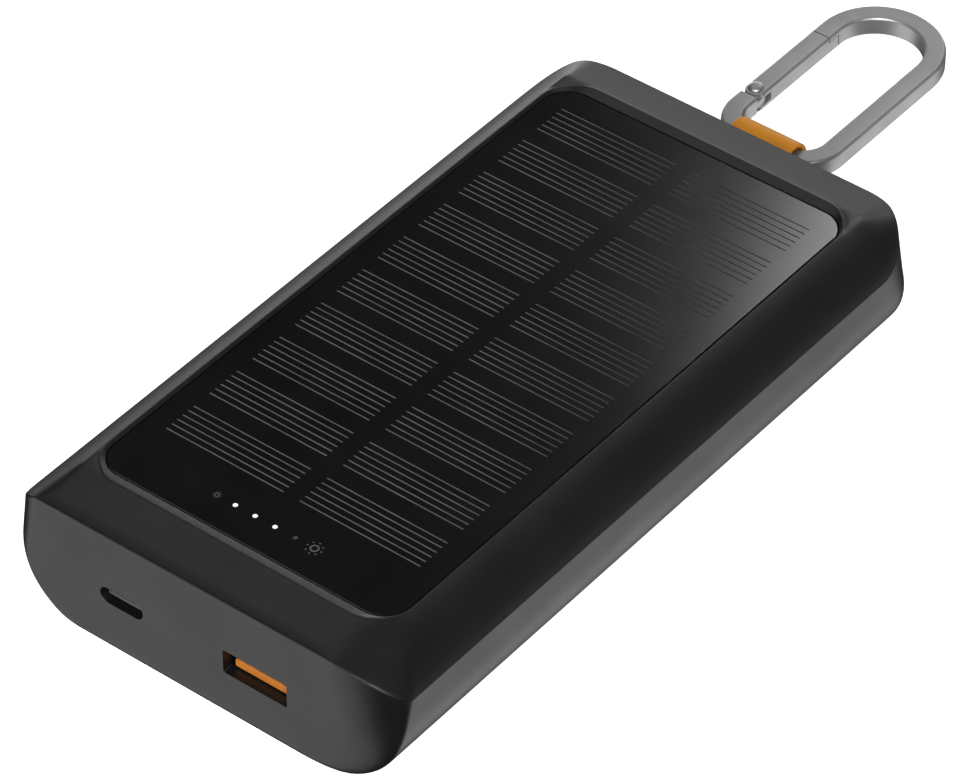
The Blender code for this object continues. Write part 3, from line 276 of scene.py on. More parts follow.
# Camera: where it stands, and how it looks
CAMERA_PLACE = (0.41946, -0.52817, 0.61611)
CAMERA_AZIMUTH = 38.358
CAMERA_ELEVATION = 41.649
CAMERA_ROLL = -0.162
CAMERA_LENS = 206.55
SENSOR_WIDTH = 36.0


# Mesh helpers

def new_object(name, mesh, finish=None):
    obj = bpy.data.objects.new(name, mesh)
    bpy.context.scene.collection.objects.link(obj)
    if finish:
        mesh.materials.append(finish)
    return obj


def from_faces(name, points, faces, finish=None, sharp=SHARP_ANGLE):
    mesh = bpy.data.meshes.new(name)
    shape = bmesh.new()
    corners = [shape.verts.new(point) for point in points]
    for face in faces:
        shape.faces.new([corners[index] for index in face])
    bmesh.ops.recalc_face_normals(shape, faces=shape.faces)
    shape.to_mesh(mesh)
    shape.free()
    mesh.shade_smooth()
    mesh.set_sharp_from_angle(angle=math.radians(sharp))
    return new_object(name, mesh, finish)


def loft(name, rings, finish=None, closed=False, sharp=SHARP_ANGLE):
    """Skin rings of equally many points. A closed loft joins its last ring to its first."""
    count = len(rings[0])
    points = [point for ring in rings for point in ring]
    spans = len(rings) if closed else len(rings) - 1
    faces = []
    for span in range(spans):
        low = span * count
        high = ((span + 1) % len(rings)) * count
        for index in range(count):
            after = (index + 1) % count
            faces.append((low + index, low + after, high + after, high + index))
    if not closed:
        faces.append(tuple(range(count)))
        faces.append(tuple(range(len(points) - count, len(points))))
    return from_faces(name, points, faces, finish, sharp)


def cornered_plan(half_x, half_y, radii, steps=CORNER_STEPS):
    """A rectangle with rounded corners about the origin, anticlockwise from its rear right
    corner, as (x, y) points. Each corner has its own radius along X and along Y."""
    plan = []
    for quarter, (side_x, side_y) in enumerate(((1, 1), (-1, 1), (-1, -1), (1, -1))):
        radius_x, radius_y = radii[quarter]
        centre_x = side_x * (half_x - radius_x)
        centre_y = side_y * (half_y - radius_y)
        for step in range(steps + 1):
            angle = math.radians(90 * (quarter + step / steps))
            plan.append((centre_x + radius_x * math.cos(angle), centre_y + radius_y * math.sin(angle)))
    return plan


def rounded_plan(half_x, half_y, radius, steps=CORNER_STEPS):
    return cornered_plan(half_x, half_y, [(radius, radius)] * 4, steps)


def flat_ring(half, z, grow=0.0):
    half_x, half_y, radius = half
    plan = rounded_plan(half_x + grow, half_y + grow, radius + grow)
    return [(x, y, z) for x, y in plan]


def slot_outline(centre_u, centre_v, width, height, radius, steps=8):
    plan = rounded_plan(width / 2, height / 2, radius, steps)
    return [(centre_u + u, centre_v + v) for u, v in plan]


def circle(centre_u, centre_v, radius, sides=48, start=0.0, turn=360.0):
    whole = abs(turn) >= 360
    last = sides if whole else sides + 1
    angles = [math.radians(start + turn * step / sides) for step in range(last)]
    return [(centre_u + radius * math.cos(a), centre_v + radius * math.sin(a)) for a in angles]


def lathe(name, profile, centre, finish=None, sides=48, sharp=SHARP_ANGLE):
    """Turn (radius, z) points about a vertical axis through centre."""
    rings = [
        [(centre[0] + u, centre[1] + v, z) for u, v in circle(0, 0, radius, sides)]
        for radius, z in profile
    ]
    return loft(name, rings, finish, sharp=sharp)


def prism(name, outline, low, high, axis="z", finish=None):
    place = {
        "x": lambda u, v, w: (w, u, v),
        "z": lambda u, v, w: (u, v, w),
    }[axis]
    rings = [[place(u, v, level) for u, v in outline] for level in (low, high)]
    return loft(name, rings, finish)


def box(name, x_range, y_range, z_range, finish=None):
    outline = [(x_range[i], y_range[j]) for i, j in ((0, 0), (1, 0), (1, 1), (0, 1))]
    return prism(name, outline, *z_range, finish=finish)


def apply_modifiers(obj):
    """Turn the object's modifiers into plain mesh."""
    bpy.context.view_layer.update()
    graph = bpy.context.evaluated_depsgraph_get()
    made = bpy.data.meshes.new_from_object(obj.evaluated_get(graph))
    old = obj.data
    obj.modifiers.clear()
    obj.data = made
    bpy.data.meshes.remove(old)


def boolean(obj, operation, others):
    """Cut the others from obj, or join them to it, and remove them."""
    for other in others:
        modifier = obj.modifiers.new(operation.lower(), "BOOLEAN")
        modifier.operation = operation
        modifier.object = other
        modifier.solver = "EXACT"
        apply_modifiers(obj)
        bpy.data.objects.remove(other, do_unlink=True)


def finish_shading(obj, sharp=SHARP_ANGLE, edge=0.0):
    """Small rounded edges, then normals that keep flat faces flat."""
    if edge:
        bevel = obj.modifiers.new("edges", "BEVEL")
        bevel.width = edge
        bevel.segments = 2
        bevel.limit_method = "ANGLE"
        bevel.angle_limit = math.radians(sharp)
        bevel.miter_outer = "MITER_ARC"
        apply_modifiers(obj)
    obj.data.shade_smooth()
    obj.data.set_sharp_from_angle(angle=math.radians(sharp))
    weighted = obj.modifiers.new("normals", "WEIGHTED_NORMAL")
    weighted.keep_sharp = True
    weighted.weight = FLAT_FACE_WEIGHT


# Materials

class Finish:
    """A Principled material whose colour, roughness and bump come from noise over the object."""

    def __init__(self, name, colour, roughness, metallic=0.0, scale=900.0, stretch=(1, 1, 1)):
        self.material = bpy.data.materials.new(name)
        self.material.use_nodes = True
        self.tree = self.material.node_tree
        self.shader = self.tree.nodes["Principled BSDF"]
        self.shader.inputs["Metallic"].default_value = metallic
        self.colour = colour
        self.roughness = roughness
        coordinates = self.node("ShaderNodeTexCoord")
        mapping = self.node("ShaderNodeMapping")
        mapping.inputs["Scale"].default_value = stretch
        self.link(coordinates.outputs["Object"], mapping.inputs["Vector"])
        self.place = mapping.outputs["Vector"]
        self.grain = self.noise(scale, 3.0)

    def node(self, kind):
        return self.tree.nodes.new(kind)

    def link(self, start, end):
        self.tree.links.new(start, end)

    def noise(self, scale, detail):
        made = self.node("ShaderNodeTexNoise")
        made.inputs["Scale"].default_value = scale
        made.inputs["Detail"].default_value = detail
        self.link(self.place, made.inputs["Vector"])
        return made.outputs["Fac"]

    def spread(self, source, low, high):
        """Map a noise of about 0.3 to 0.7 onto low to high."""
        made = self.node("ShaderNodeMapRange")
        made.inputs["From Min"].default_value = 0.3
        made.inputs["From Max"].default_value = 0.7
        made.inputs["To Min"].default_value = low
        made.inputs["To Max"].default_value = high
        self.link(source, made.inputs["Value"])
        return made.outputs["Result"]

    def mix(self, share, first, second):
        made = self.node("ShaderNodeMix")
        made.data_type = "RGBA"
        self.link(share, made.inputs["Factor"])
        for socket, value in (("A", first), ("B", second)):
            end = [found for found in made.inputs if found.name == socket and found.type == "RGBA"][0]
            if isinstance(value, tuple):
                end.default_value = (*value, 1.0)
            else:
                self.link(value, end)
        return [found for found in made.outputs if found.type == "RGBA"][0]

    def mottle(self, amount, scale=60.0):
        """Colour that drifts a little over the surface."""
        light = tuple(min(channel * (1 + amount), 1.0) for channel in self.colour)
        dark = tuple(channel * (1 - amount) for channel in self.colour)
        share = self.spread(self.noise(scale, 2.0), 0.0, 1.0)
        self.base = self.mix(share, dark, light)
        self.link(self.base, self.shader.inputs["Base Color"])
        return self

    def wear(self, colour, start=0.53, end=0.6):
        """A lighter tone where the surface is convex, as handling leaves on edges."""
        geometry = self.node("ShaderNodeNewGeometry")
        made = self.node("ShaderNodeMapRange")
        made.inputs["From Min"].default_value = start
        made.inputs["From Max"].default_value = end
        made.inputs["To Max"].default_value = 0.6
        self.link(geometry.outputs["Pointiness"], made.inputs["Value"])
        self.base = self.mix(made.outputs["Result"], self.base, colour)
        self.link(self.base, self.shader.inputs["Base Color"])
        return self

    def gloss(self, spread=0.05, scale=140.0):
        low, high = self.roughness - spread, self.roughness + spread
        self.link(self.spread(self.noise(scale, 3.0), low, high), self.shader.inputs["Roughness"])
        return self

    def bump(self, depth, strength=1.0, source=None):
        made = self.node("ShaderNodeBump")
        made.inputs["Distance"].default_value = depth
        made.inputs["Strength"].default_value = strength
        self.link(source or self.grain, made.inputs["Height"])
        self.link(made.outputs["Normal"], self.shader.inputs["Normal"])
        return self

    def set(self, **values):
        for name, value in values.items():
            self.shader.inputs[name.replace("_", " ")].default_value = value
        return self


def soft_touch():
    made = Finish("soft_touch_shell", (0.0042, 0.0042, 0.0044), 0.41, scale=5200.0)
    made.mottle(0.10, 45.0).wear((0.012, 0.012, 0.0125)).gloss(0.025, 90.0).bump(0.02 * MM, 0.5)
    return made.material


def button_plastic():
    made = Finish("button_plastic", (0.006, 0.006, 0.0063), 0.44, scale=5200.0)
    return made.mottle(0.12, 120.0).wear((0.013, 0.013, 0.0135)).gloss(0.03).bump(0.012 * MM, 0.35).material


def panel_sheet():
    made = Finish("panel_front_sheet", (0.0046, 0.0046, 0.0048), 0.138, scale=700.0)
    made.mottle(0.25, 90.0).gloss(0.008, 60.0).bump(0.002 * MM, 0.05)
    return made.material


def cell_line_ink():
    """Matte conductor print, even in tone on the real thing, with painted shade that darkens it towards the rear
    right.
    """
    made = Finish("cell_lines", (0.1, 0.1, 0.102), 0.6, scale=3000.0)
    made.mottle(0.2, 180.0).gloss(0.04).bump(0.004 * MM, 0.3).set(Specular_IOR_Level=0.2)
    place = made.node("ShaderNodeSeparateXYZ")
    made.link(made.place, place.inputs["Vector"])
    along = made.node("ShaderNodeMath")
    along.operation = "MULTIPLY_ADD"
    along.inputs[1].default_value = 2.0
    made.link(place.outputs["X"], along.inputs[0])
    made.link(place.outputs["Y"], along.inputs[2])
    # Painted shade: the colour of the lines darkens towards the rear right, along 2X + Y.
    painted_shade = made.node("ShaderNodeMapRange")
    painted_shade.interpolation_type = "SMOOTHSTEP"
    painted_shade.inputs["From Min"].default_value = LINE_PAINTED_SHADE_START
    painted_shade.inputs["From Max"].default_value = LINE_PAINTED_SHADE_END
    made.link(along.outputs["Value"], painted_shade.inputs["Value"])
    base_with_painted_shade = made.mix(painted_shade.outputs["Result"], made.base, (0.022, 0.022, 0.023))
    made.link(base_with_painted_shade, made.shader.inputs["Base Color"])
    return made.material


def indicator_light():
    made = Finish("indicator_lens", (0.5, 0.5, 0.49), 0.3, scale=2500.0)
    made.mottle(0.04, 600.0).gloss(0.03).bump(0.004 * MM, 0.2)
    return made.set(Emission_Color=(1.0, 1.0, 0.96, 1.0), Emission_Strength=0.7).material


def indicator_dim():
    made = Finish("indicator_lens_unlit", (0.035, 0.035, 0.036), 0.4, scale=2500.0)
    return made.mottle(0.15, 600.0).gloss(0.05).bump(0.004 * MM, 0.2).material


def orange_elastomer():
    made = Finish("strap_orange", (0.95, 0.37, 0.025), 0.55, scale=3800.0)
    made.mottle(0.07, 160.0).wear((0.86, 0.38, 0.06), 0.55, 0.66).gloss(0.05).bump(0.02 * MM, 0.25)
    made.set(Subsurface_Weight=0.15, Subsurface_Scale=0.6 * MM, Specular_IOR_Level=0.25)
    return made.material


def orange_moulding():
    made = Finish("connector_tongue_orange", (0.74, 0.24, 0.035), 0.38, scale=2600.0)
    return made.mottle(0.08, 300.0).gloss(0.05).bump(0.008 * MM, 0.25).material


def brushed(name, colour, roughness, stretch, scale=1400.0):
    made = Finish(name, colour, roughness, 1.0, scale, stretch)
    return made.mottle(0.06, 220.0).gloss(0.05, 300.0).bump(0.006 * MM, 0.25).material


def satin_aluminium():
    made = Finish("carabiner_aluminium", (0.45, 0.45, 0.455), 0.42, 0.75, 6500.0)
    made.mottle(0.05, 120.0).wear((0.5, 0.5, 0.5), 0.55, 0.64).gloss(0.04, 200.0).bump(0.008 * MM, 0.3)
    return made.material


def moulded(name, colour, roughness, depth=0.01, scale=2600.0):
    made = Finish(name, colour, roughness, scale=scale)
    return made.mottle(0.12, 260.0).gloss(0.05).bump(depth * MM, 0.3).material


def battery_foil():
    made = Finish("battery_foil", (0.55, 0.56, 0.58), 0.36, 0.9, 260.0)
    return made.mottle(0.05, 80.0).gloss(0.06, 120.0).bump(0.08 * MM, 0.4).material


def circuit_board():
    made = Finish("circuit_board", (0.012, 0.10, 0.045), 0.35, scale=1800.0)
    made.mottle(0.2, 420.0).gloss(0.06)
    tracks = made.node("ShaderNodeTexVoronoi")
    tracks.distance = "MANHATTAN"
    tracks.inputs["Scale"].default_value = 480.0
    made.link(made.place, tracks.inputs["Vector"])
    return made.bump(0.02 * MM, 0.4, tracks.outputs["Distance"]).material


def make_finishes():
    return {
        "soft_touch_shell": soft_touch(),
        "button_plastic": button_plastic(),
        "panel_front_sheet": panel_sheet(),
        "cell_lines": cell_line_ink(),
        "indicator_lens": indicator_light(),
        "indicator_lens_unlit": indicator_dim(),
        "strap_orange": orange_elastomer(),
        "connector_tongue_orange": orange_moulding(),
        "carabiner_aluminium": satin_aluminium(),
        "rivet_steel": brushed("rivet_steel", (0.5, 0.5, 0.505), 0.46, (1, 1, 0.2)),
        "screw_steel": brushed("screw_steel", (0.42, 0.42, 0.43), 0.3, (1, 1, 0.2)),
        # Near-black connector metal: painted shade for the shells inside the ports
        "connector_metal": brushed("connector_metal", (0.02, 0.02, 0.022), 0.6, (1, 0.1, 1)),
        "component_can": brushed("component_can", (0.55, 0.55, 0.57), 0.3, (1, 1, 0.2)),
        "contact_gold": brushed("contact_gold", (0.75, 0.52, 0.2), 0.28, (1, 0.2, 1)),
        "seal_rubber": moulded("seal_rubber", (0.012, 0.012, 0.012), 0.65),
        "silicon_cells": moulded("silicon_cells", (0.012, 0.013, 0.024), 0.25),
        "panel_backing": moulded("panel_backing", (0.02, 0.02, 0.02), 0.55),
        "adhesive_tape": moulded("adhesive_tape", (0.62, 0.62, 0.6), 0.7, 0.03),
        "connector_tongue_black": moulded("connector_tongue_black", (0.06, 0.06, 0.062), 0.4),
        "circuit_board": circuit_board(),
        "chip_epoxy": moulded("chip_epoxy", (0.014, 0.014, 0.016), 0.5),
        "ferrite": moulded("ferrite", (0.05, 0.05, 0.055), 0.7, 0.04, 1500.0),
        "battery_foil": battery_foil(),
        "foam": moulded("foam", (0.03, 0.03, 0.03), 0.95, 0.12, 1200.0),
        "wire_red": moulded("wire_red", (0.45, 0.012, 0.012), 0.45),
        "wire_black": moulded("wire_black", (0.008, 0.008, 0.008), 0.45),
    }


# Outer form of the housing

def side_height(x):
    """Height of the shoulder over the width: a flat arc from the lip down to the side crease."""
    half_turn = math.radians(SHOULDER_HALF_TURN)
    run = HALF_WIDTH - LIP_HALF[0]
    drop = LIP_Z - SIDE_CREASE_Z
    radius = math.hypot(run, drop) / (2 * math.sin(half_turn))
    first_slope = math.atan2(drop, run) - half_turn
    centre_x = LIP_HALF[0] - radius * math.sin(first_slope)
    centre_z = LIP_Z - radius * math.cos(first_slope)
    across = min(max(abs(x), LIP_HALF[0]) - centre_x, radius)
    return centre_z + math.sqrt(radius**2 - across**2)


def end_height(y):
    """Height of the flat sloping band at either end."""
    slope = (LIP_Z - END_CREASE_Z) / (HALF_LENGTH - LIP_HALF[1])
    return LIP_Z - slope * (abs(y) - LIP_HALF[1])


def top_height(x, y):
    """The lower of shoulder and band. The mitre between them is soft, but less so by the lip."""
    side = side_height(x) - LIP_Z
    end = end_height(y) - LIP_Z
    depth = max(-(side + end) / 2, 0.0) + 0.02 * MM
    blend = CREASE_BLEND * depth / (depth + BLEND_REACH)
    lowered = blend * math.log(1 + math.exp(-abs(side - end) / blend))
    return LIP_Z + min(min(side, end) - lowered, 0.0)


def cover_heights(plan, share):
    """Height of each point of a cover ring, which lies at a share of the way from crease to lip.
    The front right corner is swept smoothly from the band round to the shoulder."""
    heights = [top_height(x, y) for x, y in plan]
    shoulder = side_height(HALF_WIDTH + (LIP_HALF[0] - HALF_WIDTH) * share)
    band = end_height(HALF_LENGTH + (LIP_HALF[1] - HALF_LENGTH) * share)
    first = 3 * (CORNER_STEPS + 1)
    for step in range(CORNER_STEPS + 1):
        part = step / CORNER_STEPS
        turned = part * part * (3 - 2 * part)
        heights[first + step] = band + (shoulder - band) * turned
    return heights


def crease_plan(inset=0.0):
    radii = [(x - inset, y - inset) for x, y in CREASE_CORNERS]
    return cornered_plan(HALF_WIDTH - inset, HALF_LENGTH - inset, radii)


CREASE_HEIGHTS = cover_heights(crease_plan(), 0.0)


def crease_ring(inset, rise):
    """The crease loop moved inwards and up, each point keeping its own height."""
    return [(x, y, z + rise) for (x, y), z in zip(crease_plan(inset), CREASE_HEIGHTS)]


def tub_ring(z, inset=0.0):
    """Plan of the tub at a height: its sides curve under, and its ends turn in near the base."""
    depth = max(WIDEST_Z - z, 0.0) / (WIDEST_Z - inset)
    bulge = max(1 - depth**SIDE_POWER, 0.0) ** (1 / SIDE_POWER)
    half_x = HALF_WIDTH - SIDE_REACH + (SIDE_REACH - inset) * bulge
    round_y = max(END_ROUND - inset, LEAST_CORNER)
    below_y = min(max(inset + round_y - z, 0.0), round_y)
    half_y = HALF_LENGTH - inset - round_y + math.sqrt(round_y**2 - below_y**2)
    share = (z / SIDE_CREASE_Z) ** CORNER_POWER
    radii = []
    for foot, crease in zip(FOOT_CORNERS, CREASE_CORNERS):
        grown = [low + (high - low) * share - inset for low, high in zip(foot, crease)]
        radii.append([max(radius, LEAST_CORNER) for radius in grown])
    return [(x, y, z) for x, y in cornered_plan(half_x, half_y, radii)]


def tub_levels(inset, steps):
    """Heights from the floor up to the widest point, closest together near the floor."""
    rise = WIDEST_Z - inset
    return [WIDEST_Z - rise * math.cos(math.radians(90 * k / steps)) for k in range(steps + 1)]


def between(first, second, share):
    return [tuple(a + (b - a) * share for a, b in zip(p, q)) for p, q in zip(first, second)]


def flared_hole(name, outline_of, surface_y, direction):
    """A cutter along Y whose mouth flares a little where it meets the surface."""
    levels = ((-CUT_MARGIN, PORT_EDGE), (0.0, PORT_EDGE), (PORT_EDGE, 0.0), (HOLE_DEPTH, 0.0))
    rings = []
    for inward, grow in levels:
        y = surface_y + direction * inward
        rings.append([(u, y, v) for u, v in outline_of(grow)])
    return loft(name, rings)


def screw_places():
    places = []
    for number in range(1, CASE_SCREWS + 1):
        low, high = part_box(f"case_screw_{number}")
        places.append(((low.x + high.x) / 2, (low.y + high.y) / 2))
    return places


def add_bosses(tub):
    """Raise a boss inside the tub for each case screw."""
    bosses = []
    for number, place in enumerate(screw_places(), 1):
        bosses.append(prism(f"boss_{number}", circle(*place, BOSS_RADIUS), BOSS_FOOT_Z, BOSS_TOP_Z))
    boolean(tub, "UNION", bosses)


def cut_openings(tub):
    """Cut the screw sinks, both ports, the strap slot and the button's hole."""

    def usb_a(grow):
        size = [length + 2 * grow for length in USB_A_CUTOUT]
        return slot_outline(USB_A_X, PORT_Z, *size, USB_A_CORNER + grow)

    def usb_c(grow):
        size = [length + 2 * grow for length in USB_C_CUTOUT]
        return slot_outline(USB_C_X, PORT_Z, *size, USB_C_CORNER_SHARE * size[1], 12)

    def strap(grow):
        size = [2 * (length + grow) for length in SLOT_HALF]
        return slot_outline(0, BAR_Z, *size, SLOT_CORNER)

    holes = []
    for number, place in enumerate(screw_places(), 1):
        holes.append(prism(f"sink_{number}", circle(*place, SINK_RADIUS), -CUT_MARGIN, SINK_DEPTH))
    holes.append(flared_hole("usb_a_hole", usb_a, -HALF_LENGTH, 1))
    holes.append(flared_hole("usb_c_hole", usb_c, -HALF_LENGTH, 1))
    holes.append(flared_hole("strap_hole", strap, HALF_LENGTH, -1))
    size = [length + 2 * BUTTON_GAP for length in BUTTON_SIZE]
    outline = slot_outline(BUTTON_Y, BUTTON_Z, *size, BUTTON_HOLE_CORNER)
    holes.append(prism("button_hole", outline, -HALF_WIDTH - CUT_MARGIN, BUTTON_HOLE_X, "x"))
    boolean(tub, "DIFFERENCE", holes)


def make_lower_tub(finishes):
    """The lower shell: a thin-walled tub with the port, strap, button and screw openings."""
    rings = [tub_ring(z) for z in tub_levels(0.0, TUB_STEPS_OUTSIDE)]
    edge_z = -SEAM_DROP - SEAM
    crease = crease_ring(0.0, edge_z - SEAM_ROUND)
    wall_top = rings[-1]
    rings += [between(wall_top, crease, share) for share in TUB_WALL_SHARES]
    rings += [
        crease,
        crease_ring(SEAM_ROUND, edge_z),
        crease_ring(RIM_WALL, edge_z),
        crease_ring(RIM_WALL, -RIM_DEPTH),
        crease_ring(WALL, -RIM_DEPTH),
    ]
    rings += [tub_ring(z, WALL) for z in reversed(tub_levels(WALL, TUB_STEPS_INSIDE))]
    tub = loft("lower_tub", rings, finishes["soft_touch_shell"])
    add_bosses(tub)
    cut_openings(tub)
    finish_shading(tub)
    claim(tub, "housing", "soft_touch_shell", "lower_shell")


def make_top_cover(finishes):
    """The upper shell: shoulders, end bands, the lip and the pocket that the panel lies in."""
    rings = [
        crease_ring(SEAM_ROUND, -SEAM_DROP),
        crease_ring(0.0, -SEAM_DROP + SEAM_ROUND),
        *(crease_ring(inset, rise) for inset, rise in CREASE_EASING),
    ]
    for step in range(SHOULDER_STEPS):
        share = FIRST_SHOULDER_SHARE + (1 - FIRST_SHOULDER_SHARE) * step / SHOULDER_STEPS
        half_x = HALF_WIDTH + (LIP_HALF[0] + LIP_ROUND - HALF_WIDTH) * share
        half_y = HALF_LENGTH + (LIP_HALF[1] + LIP_ROUND - HALF_LENGTH) * share
        lip = LIP_HALF[2] + LIP_ROUND
        radii = [(x + (lip - x) * share, y + (lip - y) * share) for x, y in CREASE_CORNERS]
        plan = cornered_plan(half_x, half_y, radii)
        rings.append([(x, y, z) for (x, y), z in zip(plan, cover_heights(plan, share))])
    rings += [
        flat_ring(LIP_HALF, LIP_Z - LIP_EASE_DROP, LIP_ROUND),
        flat_ring(LIP_HALF, LIP_Z, LIP_TOP_SHARE * LIP_ROUND),
        flat_ring(CREST_HALF, LIP_Z - CREST_DROP),
        flat_ring(POCKET_HALF, PANEL_Z - CREST_DROP),
        flat_ring(POCKET_HALF, LEDGE_TOP_Z),
        flat_ring(LEDGE_HALF, LEDGE_TOP_Z),
        flat_ring(LEDGE_HALF, LEDGE_UNDER_Z),
        flat_ring(UNDER_HALF, LEDGE_UNDER_Z),
    ]
    inner = WALL + SHELL_CLEARANCE
    outer = RIM_WALL + SHELL_CLEARANCE
    rings += [
        crease_ring(inner, ROOF_RISE),
        crease_ring(inner, -SKIRT_DEPTH),
        crease_ring(outer, -SKIRT_DEPTH),
        crease_ring(outer, -SEAM_DROP),
    ]
    cover = loft("top_cover", rings, finishes["soft_touch_shell"], closed=True, sharp=24.0)
    finish_shading(cover, 24.0)
    claim(cover, "housing", "soft_touch_shell", "upper_shell")


def claim(piece, body, slot, *nodes):
    """Tie a finished piece to its body and hide the CAD nodes it stands for. The slot is not used."""
    if nodes:
        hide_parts(*nodes)
    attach(piece, body)


# Solar panel

def make_panel(finishes):
    """The glossy front sheet with a soft edge and a hole over each light point."""
    half = (PANEL_HALF_X, PANEL_HALF_Y, SHEET_CORNER)
    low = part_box("panel_window")[0].z
    rings = [flat_ring(half, low)]
    rings += [flat_ring(half, PANEL_Z - drop, grow) for drop, grow in SHEET_EASING]
    sheet = loft("panel_sheet", rings, finishes["panel_front_sheet"])
    holes = []
    for number, (low_corner, high_corner) in enumerate(INDICATORS, 1):
        x = (low_corner.x + high_corner.x) / 2
        hole = circle(x, INDICATOR_Y, INDICATOR_RADIUS + INDICATOR_GAP)
        holes.append(prism(f"light_hole_{number}", hole, low - CUT_MARGIN, PANEL_Z + CUT_MARGIN))
    boolean(sheet, "DIFFERENCE", holes)
    finish_shading(sheet)
    claim(sheet, "housing", "panel_front_sheet", "panel_window")


def make_cell_lines(finishes):
    """Six fine conductor lines across each cell, printed on the sheet, ten cells a side."""
    points = []
    faces = []
    for side in (-1, 1):
        ends = [CELL_GROUP_MIDDLE + side * x for x in (CELL_LINE_INNER, CELL_LINE_OUTER)]
        for row in range(CELL_ROWS):
            for line in range(LINES_PER_CELL):
                offset = (line - (LINES_PER_CELL - 1) / 2) * LINE_PITCH
                y = FIRST_CELL_Y + row * CELL_PITCH + offset
                add_strip(points, faces, min(ends), max(ends), y)
    lines = from_faces("cell_lines", points, faces, finishes["cell_lines"])
    claim(lines, "housing", "silicon_cells")


def add_strip(points, faces, left, right, y):
    """One raised strip whose top is a little narrower than its foot."""
    first = len(points)
    for z, shrink in ((PANEL_Z - LINE_SINK, 0.0), (PANEL_Z + LINE_RISE, LINE_BEVEL)):
        half = LINE_WIDTH / 2 - shrink
        ends = (left + shrink, right - shrink)
        for end, side in ((0, -1), (1, -1), (1, 1), (0, 1)):
            points.append((ends[end], y + side * half, z))
    quads = ((0, 1, 2, 3), (4, 5, 6, 7), (0, 1, 5, 4), (1, 2, 6, 5), (2, 3, 7, 6), (3, 0, 4, 7))
    faces.extend(tuple(first + index for index in quad) for quad in quads)


def make_indicators(finishes):
    """Domed light points, three lit and the last dim, between two small sun marks."""
    seat_z = PANEL_Z - LENS_SEAT
    for number, (low, high) in enumerate(INDICATORS, 1):
        slot = "indicator_lens" if number <= LIT_INDICATORS else "indicator_lens_unlit"
        profile = [(INDICATOR_RADIUS, low.z), (INDICATOR_RADIUS, seat_z)]
        for step in range(1, 6):
            turn = math.radians(18 * step)
            radius = INDICATOR_RADIUS * math.cos(turn) + LENS_TIP
            profile.append((radius, seat_z + LENS_DOME * math.sin(turn)))
        centre = ((low.x + high.x) / 2, INDICATOR_Y)
        lens = lathe(f"light_point_{number}", profile, centre, finishes[slot], 32)
        claim(lens, "housing", slot, f"indicator_led_{number}")
    make_sun("small_sun_mark", *SMALL_SUN, finishes)
    make_sun("large_sun_mark", *LARGE_SUN, finishes)


def make_sun(name, x, ring_radius, ray_radius, dot_radius, finishes):
    """A plain ring with eight dots round it, printed on the sheet."""
    points = []
    faces = []
    low, high = PANEL_Z - LINE_SINK, PANEL_Z + LINE_RISE
    inner, outer = ring_radius - dot_radius, ring_radius + dot_radius
    for step in range(SUN_RING_SIDES):
        turn = math.tau * step / SUN_RING_SIDES
        for radius, z in ((inner, low), (outer, low), (outer, high), (inner, high)):
            points.append((x + radius * math.cos(turn), INDICATOR_Y + radius * math.sin(turn), z))
    for step in range(SUN_RING_SIDES):
        here, after = 4 * step, 4 * ((step + 1) % SUN_RING_SIDES)
        for corner in range(4):
            beside = (corner + 1) % 4
            faces.append((here + corner, here + beside, after + beside, after + corner))
    sides = SUN_DOT_SIDES
    for ray in range(SUN_RAYS):
        turn = math.tau * ray / SUN_RAYS
        centre = (x + ray_radius * math.cos(turn), INDICATOR_Y + ray_radius * math.sin(turn))
        first = len(points)
        for z in (low, high):
            points.extend((u, v, z) for u, v in circle(*centre, dot_radius, sides))
        faces.append(tuple(range(first, first + sides)))
        faces.append(tuple(range(first + sides, first + 2 * sides)))
        for side in range(sides):
            after = (side + 1) % sides
            faces.append((first + side, first + after, first + sides + after, first + sides + side))
    sun = from_faces(name, points, faces, finishes["cell_lines"])
    claim(sun, "housing", "silicon_cells")


# Ports, button and screws

def make_tongue(name, low, high, nose, corner, finish):
    """A connector tongue between two corners of its box, with a rounded nose."""
    middle = ((low.x + high.x) / 2, (low.z + high.z) / 2)
    size = (high.x - low.x, high.z - low.z)
    rings = []
    for back, shrink in nose:
        outline = slot_outline(*middle, size[0] - 2 * shrink * MM, size[1] - 2 * shrink * MM, corner, 4)
        rings.append([(u, low.y + back * MM, v) for u, v in outline])
    rings.append([(u, high.y, v) for u, v in slot_outline(*middle, *size, corner, 4)])
    tongue = loft(name, rings, finish)
    finish_shading(tongue)
    return tongue


def make_usb_a_tongue(finishes):
    """The orange tongue, and four contacts let into its upper face."""
    low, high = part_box("usb_a_tongue")
    orange = finishes["connector_tongue_orange"]
    tongue = make_tongue("usb_a_tongue_orange", low, high, USB_A_NOSE, USB_A_TONGUE_CORNER, orange)
    claim(tongue, "housing", "connector_tongue_orange", "usb_a_tongue")
    for number in range(CONTACTS):
        x = (low.x + high.x) / 2 + (number - (CONTACTS - 1) / 2) * CONTACT_PITCH * MM
        contact = box(
            f"usb_a_contact_{number + 1}",
            (x - CONTACT_HALF_WIDTH, x + CONTACT_HALF_WIDTH),
            (low.y + CONTACT_SETBACK, high.y - CONTACT_END),
            (high.z - CONTACT_SINK, high.z + CONTACT_RISE),
            finishes["contact_gold"],
        )
        finish_shading(contact, edge=CONTACT_EDGE)
        claim(contact, "housing", "connector_metal")


def make_usb_c_tongue(finishes):
    """The thin tongue in the middle of the USB-C opening."""
    low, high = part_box("usb_c_tongue")
    black = finishes["connector_tongue_black"]
    tongue = make_tongue("usb_c_tongue_grey", low, high, USB_C_NOSE, USB_C_TONGUE_CORNER, black)
    claim(tongue, "housing", "connector_tongue_black", "usb_c_tongue")


